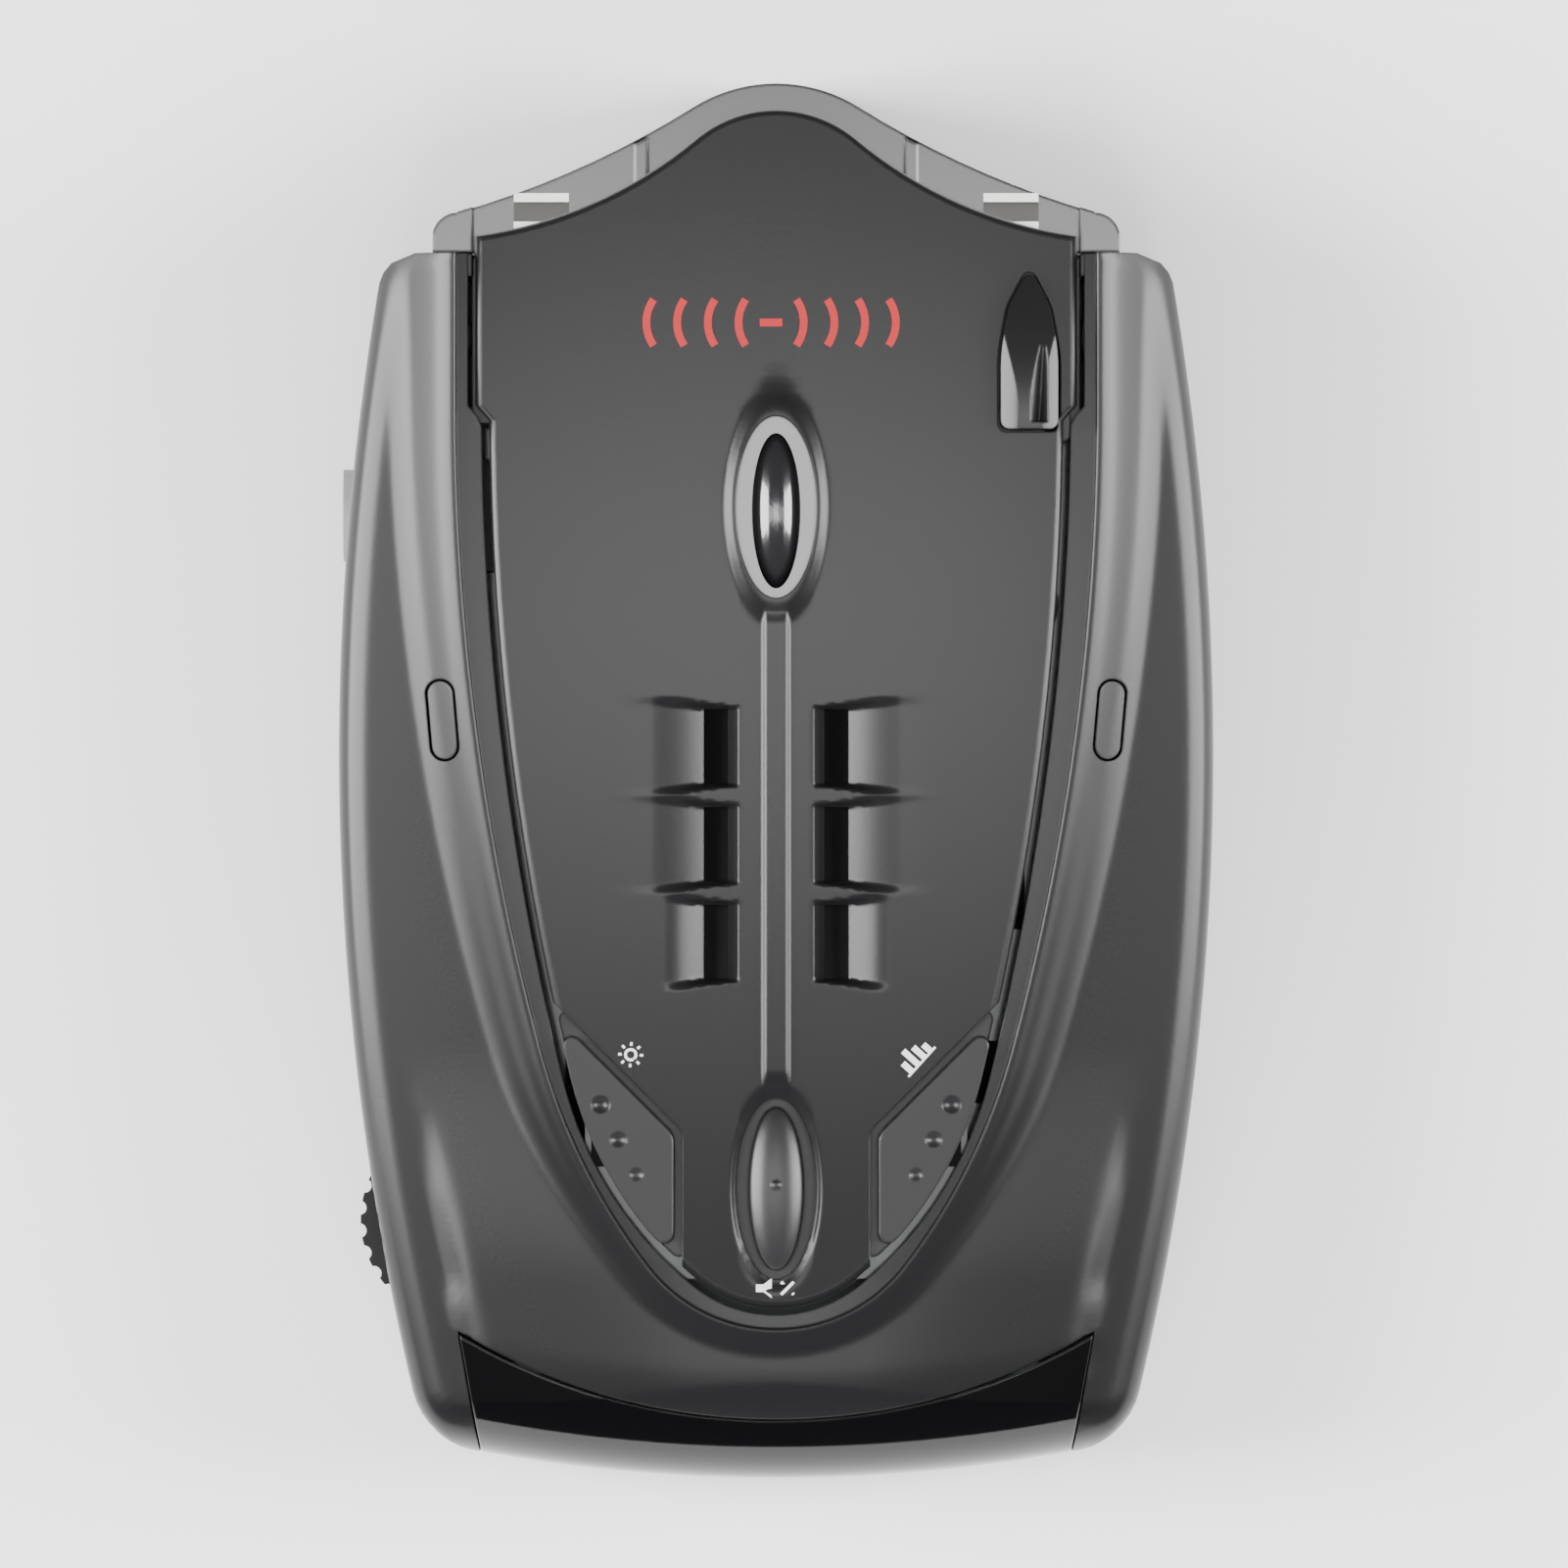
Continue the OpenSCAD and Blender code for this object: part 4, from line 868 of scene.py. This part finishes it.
    def build(self) -> bpy.types.Object:
        """Builds the shell, cuts its openings and dresses it.

        Returns:
            The upper shell.
        """
        side = self.side()
        rays = [(-x, y, -dx, dy) for x, y, dx, dy in reversed(side[1:])] + side
        points, faces = [], []
        for ray in rays:
            mirror = -1 if ray[2] < 0 else 1
            ray = (abs(ray[0]), ray[1], abs(ray[2]), ray[3])
            points += [(mirror * x, y, z) for x, y, z in self.section(ray)]
        n = len(points) // len(rays)
        for k in range(len(rays) - 1):
            faces += ring_faces(k * n, (k + 1) * n, n)
        faces += [tuple(range(n)), tuple(range(len(points) - n, len(points)))]
        shell = mesh_object("upper_shell_moulding", points, faces)
        carve(shell, prisms("openings", self.openings()))
        soften(shell, 40)
        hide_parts("upper_shell")
        return dress(shell, Finishes.CASE)

    def openings(self) -> list[Cut]:
        """Works out the window, the holes of the side plugs and the thumbwheel slot.

        Returns:
            Outlines with lower and upper heights, past the shell where it is cut right through.
        """
        s, grown = self.size, self.window_gap
        arch, centre = self.window_arch - grown, s.rear_y + self.window_rise + self.window_arch
        half_low, half_high = self.window_low + grown, self.window_high + grown
        reach, steps = math.degrees(math.asin(half_high / arch)), 40
        bow = [math.radians(reach - 2 * reach * i / steps) for i in range(steps + 1)]
        window = [(-half_low, s.rear_y - 2), (half_low, s.rear_y - 2)]
        window += [(arch * math.sin(t), centre - arch * math.cos(t)) for t in bow]
        made = [(window, 5.0, 60.0)]
        for name in ("side_plug_left", "side_plug_right"):
            made.append((self.plug_plan(*middle(name), self.plug_hole_r), 20.0, 40.0))
        (cx, cy), r, steps = middle("volume_wheel"), self.wheel_slot_r, 64
        turn = [math.tau * i / steps for i in range(steps)]
        disc = [(cx + r * math.cos(a), cy + r * math.sin(a)) for a in turn]
        made.append((disc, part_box("volume_wheel")[0].z / MM - 0.25, self.wheel_slot_top))
        return made

    def outline(self) -> Outline:
        """Works out the case's outline, a hair inside the upper shell so that it never shows.

        Returns:
            The outline with its rounded corners, from the front right to the front left.
        """
        made, inset = [], 0.06
        for ray in reversed(self.side()):
            edge = self.reach(ray, 0.0, self.farthest, lambda a, b: self.depth(a, b) < inset)
            made.append((ray[0] + ray[2] * edge, ray[1] + ray[3] * edge))
        return made + [(-x, y) for x, y in reversed(made[:-1])]

    def build_lower(self) -> bpy.types.Object:
        """Builds the lower shell: the frame's shape with its upright corners rounded.

        Returns:
            The lower shell.
        """
        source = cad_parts["lower_shell"]
        shell = bpy.data.objects.new("lower_shell_moulding", source.data.copy())
        bpy.context.scene.collection.objects.link(shell)
        work = bmesh.new()
        work.from_mesh(shell.data)
        bmesh.ops.remove_doubles(work, verts=work.verts, dist=FRAME_WELD_MM * MM)
        work.to_mesh(shell.data)
        work.free()
        carve(shell, prisms("trim", [(self.outline(), -5.0, 40.0)]), "INTERSECT")
        soften(shell, 30)
        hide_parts("lower_shell")
        return dress(shell, Finishes.CASE)

    def build_plug(self, name: str) -> bpy.types.Object:
        """Builds a side plug whose face follows the surface of the shell.

        Args:
            name: the frame's node that the plug replaces.

        Returns:
            The plug.
        """
        cx, cy = middle(name)
        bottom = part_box(name)[0].z / MM
        columns, rows, pitch = 17, 37, 0.2
        spots = [(cx + (i - columns // 2) * pitch, cy + (j - rows // 2) * pitch)
                 for j in range(rows) for i in range(columns)]
        points = [(x, y, self.top(abs(x), y, self.lip.distance(x, y)) - self.plug_sink)
                  for x, y in spots]
        points += [(x, y, bottom) for x, y in spots]
        plug = mesh_object(name + "_moulding", points, slab_faces(columns, rows))
        trim = (self.plug_plan(cx, cy, self.plug_r), 10.0, 40.0)
        carve(plug, prisms("trim", [trim]), "INTERSECT")
        soften(plug, 38)
        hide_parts(name)
        return dress(plug, Finishes.CASE)

    @staticmethod
    def plug_plan(cx: float, cy: float, r: float) -> Outline:
        """Outline of a side plug: an obround that leans toward the nose.

        Args:
            cx: x of its centre.
            cy: y of its centre.
            r: radius of its ends.

        Returns:
            The outline.
        """
        half, steps = 2.1, 16
        lean = math.radians(5) * (1 if cx < 0 else -1)
        turn = [math.pi * i / steps for i in range(steps + 1)]
        ring = [(r * math.cos(a), half + r * math.sin(a)) for a in turn]
        ring += [(-u, -v) for u, v in ring]
        return [(cx + u * math.cos(lean) - v * math.sin(lean),
                 cy + u * math.sin(lean) + v * math.cos(lean)) for u, v in ring]


@dataclass
class BracketPocket:
    """Slot above the nose that takes the windscreen bracket, with the wall below it."""

    size: Layout
    half: float = 24.3
    deck_z: float = 20.6
    slot: float = 2.4
    deep: float = 12.0
    wall: float = 1.6
    cheek: float = 3.0

    def build(self) -> bpy.types.Object:
        """Builds the floor, the roof, the back and the cheeks of the pocket.

        Returns:
            The pocket.
        """
        front, back = self.size.wing_y - 0.05, self.size.wing_y - self.deep
        half, wall, deck = self.half, self.wall, self.deck_z
        roof = deck + self.slot
        low = self.size.joint_z + 0.2
        pieces = [
            (block(-half, half, back - wall, front), deck - wall, deck),
            (block(-half, half, back - wall, front - 0.3), roof, roof + wall),
            (block(-half, half, back - wall, back), deck, roof),
        ]
        for side in (-1, 1):
            x0, x1 = sorted((side * half, side * (half + self.cheek)))
            pieces.append((block(x0, x1, front - 1.8, front), low, roof + 2 * wall))
        pocket = prisms("bracket_pocket", pieces)
        soften(pocket)
        return dress(pocket, Finishes.CASE)


# ---- centre panel -----------------------------------------------------------------------------


@dataclass
class CentrePanel:
    """Drop-shaped centre panel with its spine, oval rims and louvred sound outlet."""

    size: Layout
    outline: Drop = PANEL_OUTLINE
    front_half: float = 24.0
    tip_r: float = 10.0
    flare_r: float = 34.0
    flare_lean: float = math.radians(40)
    thick: float = 2.0
    edge_r: float = 0.45
    oval_w: float = 6.4
    oval_l: float = 14.5
    laser_y: float = 21.9
    mute_y: float = -32.5
    slot_x: float = 4.8
    slot_w: float = 1.9
    slot_l: float = 5.9
    slot_ys: tuple[float, ...] = (2.8, -5.0, -12.8)
    louvre_depth: float = 1.25
    louvre_lip: float = 0.85
    louvre_end: float = 10.4
    last_louvre_end: float = 9.0
    spine: float = 0.4
    rim: float = 0.42
    dish: float = 0.3
    key_rise: float = 5.6
    key_inner_x: float = 8.2
    release_half: float = 2.3
    release_length: float = 13.0
    skirt_z: float = 23.0
    skirt_in: float = 1.5

    def plan(self, grow: float) -> Outline:
        """Outline grown by a distance.

        Args:
            grow: the distance, negative to shrink.

        Returns:
            The outline from the rear tip, up the right-hand side and back down the left.
        """
        notch, turn = self.size.notch_y, self.size.turn_y
        flat = self.outline.side(0.0)
        grown = self.outline.side(grow)
        side = [g for f, g in zip(flat, grown) if f[1] < notch - 2]
        side += [(self.outline.half + grow, notch), (self.front_half + grow, turn)]
        side += self.bow(grow)
        return side + [(-x, y) for x, y in reversed(side[1:-1])]

    def bow(self, grow: float, steps: int = 16) -> Outline:
        """Right-hand half of the bowed front: a hollow flare, then the round tip.

        Args:
            grow: distance by which the outline is grown.
            steps: number of steps on each arc.

        Returns:
            Points from the outer end to the tip.
        """
        tip_y, tip_r = self.size.nose_y - 2.3, self.tip_r
        flare, lean = self.flare_r, self.flare_lean
        cx, cy = 0.0, tip_y - tip_r
        dx, dy = cx + (tip_r + flare) * math.sin(lean), cy + (tip_r + flare) * math.cos(lean)
        start = math.asin((dx - self.front_half - grow) / (flare - grow))
        made = []
        for i in range(steps + 1):
            a = start + (lean - start) * i / steps
            made.append((dx - (flare - grow) * math.sin(a), dy - (flare - grow) * math.cos(a)))
        for i in range(1, steps + 1):
            a = lean * (1 - i / steps)
            made.append((cx + (tip_r + grow) * math.sin(a), cy + (tip_r + grow) * math.cos(a)))
        return made

    def scoop(self, x: float, y: float) -> float:
        """Depth of the louvred sound outlet: each louvre drops to its slot and ramps out again.

        Args:
            x: the point's x, on either side.
            y: the point's y.

        Returns:
            The depth below the crown, 0 outside the louvres.
        """
        u, depth, lip, full = abs(x), 0.0, self.louvre_lip, self.louvre_depth
        near, far = self.slot_x - self.slot_w / 2, self.slot_x + self.slot_w / 2
        for row in self.slot_ys:
            rise = self.last_louvre_end if row == self.slot_ys[-1] else self.louvre_end
            if u < near - lip or u > rise:
                continue
            v = abs(y - row)
            half = self.slot_l / 2 + 0.07 * max(0.0, u - far)
            wall = 1.0 - ramp(v, half, half + 0.3 + 0.5 * min(1.0, max(0.0, u - near) / 4))
            if u < near:
                floor = full * (u - near + lip) / lip
            elif u < far:
                floor = full
            else:
                floor = full * ((rise - u) / (rise - far)) ** 1.5
            depth = max(depth, floor * wall)
        return depth

    def oval_reach(self, x: float, y: float, centre_y: float) -> float:
        """How far out a point is from the centre of an oval, whose edge is at 1."""
        return math.hypot(x / (self.oval_w / 2), (y - centre_y) / (self.oval_l / 2))

    def relief(self, x: float, y: float) -> float:
        """Height of the small relief above the crown: spine, rims and recesses.

        Args:
            x: the point's x.
            y: the point's y.

        Returns:
            The height, negative in a recess.
        """
        ends = ramp(y, self.mute_y + 7.6, self.mute_y + 9.2)
        ends *= ramp(-y, -self.laser_y + 7.7, -self.laser_y + 9.0)
        spine = self.spine * (1 - ramp(abs(x), 0.75, 1.2)) * ends
        rim = self.rim * (1 - ramp(self.oval_reach(x, y, self.laser_y), 1.06, 1.34))
        dish = -self.dish * (1 - ramp(self.oval_reach(x, y, self.mute_y), 1.02, 1.16))
        return max(spine, rim) + dish - self.scoop(x, y)

    def height(self, x: float, y: float) -> float:
        """Height of the finished surface."""
        return self.size.crown(x, y) + self.relief(x, y)

    def grid_lines(self) -> tuple[list[float], list[float]]:
        """Lines of the surface grid, close together where the relief is fine.

        Returns:
            The x of each column and the y of each row.
        """

        def spread(start: float, stops: list[Point2]) -> list[float]:
            """Spaces values out, each stretch at its own pitch.

            Args:
                start: the first value.
                stops: the end and the pitch of each stretch.

            Returns:
                The values.
            """
            made = [start]
            for end, pitch in stops:
                first, count = made[-1], max(1, round((end - made[-1]) / pitch))
                made += [first + (end - first) * (i + 1) / count for i in range(count)]
            return made

        side = spread(0.0, [(0.6, 0.3), (1.3, 0.1), (2.9, 0.4), (4.0, 0.12), (10.0, 0.25),
                            (26.0, 1.6)])
        ys = spread(-44.0, [(-41.5, 0.8), (-23.0, 0.4), (-17.5, 0.5), (7.5, 0.16), (12.5, 0.5),
                            (31.0, 0.4), (56.0, 1.4)])
        return [-x for x in reversed(side[1:])] + side, ys

    def build(self) -> bpy.types.Object:
        """Builds the plate and its rolled edge, cuts the openings and dresses it.

        Returns:
            The centre panel.
        """
        xs, ys = self.grid_lines()
        points = [(x, y, self.height(x, y)) for y in ys for x in xs]
        points += [(x, y, self.size.crown(x, y) - self.thick) for y in ys for x in xs]
        plate = mesh_object("centre_panel_moulding", points, slab_faces(len(xs), len(ys)))
        carve(plate, prisms("trim", [(self.plan(-self.edge_r), 10.0, 50.0)]), "INTERSECT")
        carve(plate, prisms("cut", self.openings()))
        edge = self.edge()
        carve(edge, prisms("cut", self.openings(wide=True)))
        panel = join([plate, edge])
        soften(panel, 38)
        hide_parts("centre_panel")
        return dress(panel, Finishes.CASE)

    def edge(self) -> bpy.types.Object:
        """Builds the rolled edge of the plate, with the skirt at the front.

        Returns:
            A closed ring whose upper inner edge meets the plate.
        """
        turns, inward = 5, -self.skirt_in
        steps = [(-self.edge_r * (1 - math.sin(math.pi / 2 * i / turns)),
                  self.edge_r * (1 - math.cos(math.pi / 2 * i / turns))) for i in range(turns + 1)]
        rings = [[(x, y, self.size.crown(x, y) - drop) for x, y in self.plan(grow)]
                 for grow, drop in steps]

        def under(x: float, y: float) -> float:
            """Height of the plate's underside."""
            return self.size.crown(x, y) - self.thick

        def foot(x: float, y: float) -> float:
            """Height of the ring's foot: the skirt's at the front, the plate's elsewhere."""
            return self.skirt_z if y > self.size.wing_y + 0.3 else under(x, y)

        rings.append([(x, y, foot(x, y)) for x, y in self.plan(0.0)])
        rings.append([(x, y, foot(x, y)) for x, y in self.plan(inward)])
        rings.append([(x, y, under(x, y) + 0.3) for x, y in self.plan(inward)])
        n, faces = len(rings[0]), []
        for k in range(len(rings)):
            faces += ring_faces(k * n, (k + 1) % len(rings) * n, n)
        return mesh_object("panel_edge", [p for ring in rings for p in ring], faces)

    def key_plan(self, side: int, grow: float, out: float) -> Outline:
        """Outline of a corner key: it follows the panel's edge, with two slanted sides.

        Args:
            side: -1 for the left-hand key, 1 for the right-hand one.
            grow: distance by which the inner sides are grown.
            out: distance outside the panel's edge.

        Returns:
            The outline with its rounded corners.
        """
        _, (cx, cy, r, _), (wx, wy, wr, _) = self.outline.arcs()
        # the slanted side is the line where y is x and this much more
        slant = self.outline.tip + self.key_rise + 1.414 * grow
        x0 = self.key_inner_x - grow
        t0 = math.degrees(math.asin((x0 - cx) / (r + out)))

        def on(degrees: float) -> Point2:
            """Point on the middle arc of the panel's edge."""
            t = math.radians(degrees)
            return cx + (r + out) * math.sin(t), cy - (r + out) * math.cos(t)

        def wide(y: float) -> float:
            """X of the last arc of the panel's edge."""
            return wx + math.sqrt((wr + out) ** 2 - (y - wy) ** 2)

        # two rounds from a first guess find where that line meets the last arc
        x2 = wide(wide(17.5 + slant) + slant)
        corners = [(*on(t0), 0.8)]
        corners += [(*on(t0 + 5.5 + (70.5 - t0) * i / 10), 0.0) for i in range(11)]
        corners += [(x2, x2 + slant, 0.7), (x0, x0 + slant, 1.4)]
        return [(side * x, y) for x, y in rounded(corners)]

    def openings(self, wide: bool = False) -> list[Cut]:
        """Outlines of the openings through the panel.

        Args:
            wide: only the openings that reach the panel's edge.

        Returns:
            Outlines with lower and upper heights.
        """
        low, high = 10.0, 45.0
        made = [(self.key_plan(side, 0.7, 3.0), low, high) for side in (-1, 1)]
        if wide:
            return made
        made.append((oval(self.oval_w, self.oval_l, self.laser_y), low, high))
        made.append((oval(self.oval_w, self.oval_l, self.mute_y), low, high))
        for side in (-1, 1):
            for row in self.slot_ys:
                x0, x1 = sorted((side * (self.slot_x - self.slot_w / 2),
                                 side * (self.slot_x + self.slot_w / 2)))
                half = self.slot_l / 2
                made.append((block(x0, x1, row - half, row + half), low, high))
        made.append((self.release_plan(0.2), low, high))
        return made

    def release_plan(self, grow: float) -> Outline:
        """Outline of the release key, which narrows to a tip at the front.

        Args:
            grow: distance by which it is grown.

        Returns:
            The outline with its rounded corners.
        """
        x, y = self.front_half - 3.8, self.size.wing_y - 14.1
        w, length = self.release_half + grow, self.release_length
        corners = [
            (x, y + length + grow, 0.6), (x - w * 0.72, y + length - 3.2, 4.0),
            (x - w, y + 6, 12.0), (x - w, y - grow, 0.7), (x + w, y - grow, 0.7),
            (x + w, y + 6, 12.0), (x + w * 0.72, y + length - 3.2, 4.0),
        ]
        return rounded(corners, 5)


# ---- printed marks ----------------------------------------------------------------------------


@dataclass
class PrintedMarks:
    """Generic pictograms printed on the panel: waves, a sun, houses and a quiet speaker."""

    panel: CentrePanel
    thick: float = 0.03
    sink: float = 0.05
    wave_r: float = 3.2
    wave_pitch: float = 2.45
    wave_width: float = 0.62

    @staticmethod
    def strip(line: Outline, width: float) -> list[Outline]:
        """Draws a ribbon of even width along a line.

        Args:
            line: points of the line.
            width: the ribbon's width.

        Returns:
            A list of one outline, ready to add to a mark.
        """
        left, right = [], []
        for i, (x, y) in enumerate(line):
            (x0, y0), (x1, y1) = line[max(0, i - 1)], line[min(len(line) - 1, i + 1)]
            length = math.hypot(x1 - x0, y1 - y0)
            nx, ny = -(y1 - y0) / length * width / 2, (x1 - x0) / length * width / 2
            left.append((x + nx, y + ny))
            right.append((x - nx, y - ny))
        return [left + right[::-1]]

    @staticmethod
    def arc(x: float, y: float, r: float, a: float, b: float, steps: int = 10) -> Outline:
        """Points of an arc between two angles in degrees."""
        turn = [math.radians(a + (b - a) * i / steps) for i in range(steps + 1)]
        return [(x + r * math.cos(t), y + r * math.sin(t)) for t in turn]

    def print_mark(
        self, name: str, shapes: list[Outline], ink: Finishes, place: Point3
    ) -> bpy.types.Object:
        """Lays a mark on the panel as a film of ink.

        Args:
            name: the mark's name.
            shapes: its outlines, round its own centre.
            ink: the ink's finish.
            place: x and y of the centre, and the turn in degrees.

        Returns:
            The mark.
        """
        x, y, turn = place
        c, s = math.cos(math.radians(turn)), math.sin(math.radians(turn))
        points, faces = [], []
        for shape in shapes:
            laid = [(x + u * c - v * s, y + u * s + v * c) for u, v in shape]
            faces += block_faces(len(points), len(laid))
            for lift in (-self.sink, self.thick):
                points += [(a, b, self.panel.height(a, b) + lift) for a, b in laid]
        return dress(mesh_object(name, points, faces), ink)

    def waves(self) -> list[Outline]:
        """Draws two rows of arcs that spread from a dash.

        Returns:
            The mark's outlines.
        """
        made, r, width = [], self.wave_r, self.wave_width
        for side, facing in ((-1, 180), (1, 0)):
            for i in range(4):
                reach = 2.6 + self.wave_pitch * i
                line = self.arc(side * (reach - r), 0, r, facing - 35, facing + 35)
                made += self.strip(line, width)
        return made + self.strip([(-0.9, 0), (0.9, 0)], width)

    def sun(self) -> list[Outline]:
        """Draws a ring with eight rays.

        Returns:
            The mark's outlines.
        """
        made, rays, inner, outer = self.strip(self.arc(0, 0, 0.42, 0, 350, 24), 0.22), 8, 0.72, 1.0
        for a in (math.tau * i / rays for i in range(rays)):
            made += self.strip([(inner * math.cos(a), inner * math.sin(a)),
                                (outer * math.cos(a), outer * math.sin(a))], 0.2)
        return made

    def houses(self) -> list[Outline]:
        """Draws four blocks of different heights on a line.

        Returns:
            The mark's outlines.
        """
        made = []
        for x, high in ((-1.1, 0.2), (-0.35, 0.85), (0.4, 0.45), (1.1, 0.0)):
            made += self.strip([(x, -0.8), (x, high)], 0.5)
        return made + self.strip([(-1.6, -0.85), (1.6, -0.85)], 0.18)

    def quiet(self) -> list[Outline]:
        """Draws a loudspeaker and a cross.

        Returns:
            The mark's outlines.
        """
        speaker = [(-1.6, -0.3), (-1.0, -0.3), (-0.35, -0.8), (-0.35, 0.8), (-1.0, 0.3),
                   (-1.6, 0.3)]
        cross = [self.strip([(0.4, -y), (1.4, y)], 0.24) for y in (0.5, -0.5)]
        return [speaker, *cross[0], *cross[1]]

    def build(self) -> None:
        """Prints the four marks."""
        red, white = Finishes.INK_RED, Finishes.INK_WHITE
        self.print_mark("mark_waves", self.waves(), red, (-0.4, 36.6, 0))
        self.print_mark("mark_sun", self.sun(), white, (-11.6, -21.8, -48))
        self.print_mark("mark_houses", self.houses(), white, (11.0, -21.8, 48))
        self.print_mark("mark_quiet", self.quiet(), white, (0, -40.45, 0))


# ---- frame pieces and studio ------------------------------------------------------------------


def dress_frame() -> None:
    """Gives its finish to every frame node that no moulding replaces."""
    for name, choice in NODE_FINISHES.items():
        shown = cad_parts[name]
        shown.data.materials.clear()
        shown.data.materials.append(choice.value.material())
        LOG.info("%s: %s", name, choice.value.name)


@dataclass
class Studio:
    """Pale floor, soft lights and a camera straight above."""

    half_view_mm: float = 62.95
    focus_z: float = 15.0
    aim_x: float = 0.63
    aim_y: float = -0.2
    lens: float = 600.0
    sensor: float = 36.0
    floor_half: float = 3000.0
    floor_thick: float = 1.0
    world_strength: float = 0.16

    def camera(self) -> None:
        """Places the camera straight above, with +Y up in the frame."""
        data = bpy.data.cameras.new("camera")
        data.lens, data.sensor_width = self.lens, self.sensor
        data.clip_start, data.clip_end = 0.01, 20.0
        made = bpy.data.objects.new("camera", data)
        away = self.half_view_mm * 2 * self.lens / self.sensor
        made.location = (self.aim_x * MM, self.aim_y * MM, (self.focus_z + away) * MM)
        bpy.context.scene.collection.objects.link(made)
        bpy.context.scene.camera = made

    def light(
        self, name: str, place: Point3, size: Point2, watts: float, mirrored: bool = True
    ) -> None:
        """Adds a soft rectangular light aimed at the detector.

        Args:
            name: the light's name.
            place: its centre, in metres.
            size: its width and length, in metres.
            watts: its power.
            mirrored: whether glossy surfaces show it.
        """
        data = bpy.data.lights.new(name, "AREA")
        data.shape, data.size, data.size_y, data.energy = "RECTANGLE", size[0], size[1], watts
        made = bpy.data.objects.new(name, data)
        made.location = place
        made.visible_glossy = mirrored
        aim = Vector((0, 0, 0.02)) - Vector(place)
        made.rotation_euler = aim.to_track_quat("-Z", "Y").to_euler()
        bpy.context.scene.collection.objects.link(made)

    def build(self) -> None:
        """Builds the floor, the lights and the pale surroundings."""
        self.camera()
        low, half = CAD_BOX[0].z / MM, self.floor_half
        plan = block(-half, half, -half, half)
        floor = prisms("floor", [(plan, low - self.floor_thick, low)])
        paint = Finish("floor_painted_white", "case_plastic", "#f6f6f6", 0.9)
        floor.data.materials.append(paint.material())
        self.light("left_box", (-1.2, 0.05, 0.6), (0.5, 1.5), 62)
        self.light("right_box", (1.25, 0.05, 0.56), (0.45, 1.5), 50)
        self.light("high_left_box", (-0.33, 0.0, 1.5), (0.2, 1.4), 6)
        self.light("high_right_box", (0.35, 0.0, 1.5), (0.2, 1.4), 4)
        self.light("front_box", (0.0, -1.15, 0.5), (1.2, 0.4), 30, False)
        world = bpy.data.worlds.new("surroundings")
        world.use_nodes = True
        background = world.node_tree.nodes["Background"].inputs
        background["Color"].default_value = (1, 1, 1, 1)
        background["Strength"].default_value = self.world_strength
        bpy.context.scene.world = world


def main() -> None:
    """Builds the studio and then the detector, piece by piece."""
    logging.basicConfig(level=logging.INFO, format="%(name)s %(message)s")
    Studio().build()
    dress_frame()
    size = Layout()
    case = UpperShell(size)
    case.build()
    case.build_lower()
    for plug in ("side_plug_left", "side_plug_right"):
        case.build_plug(plug)
    BracketPocket(size).build()
    panel = CentrePanel(size)
    panel.build()
    PrintedMarks(panel).build()


if __name__ == "__main__":
    main()
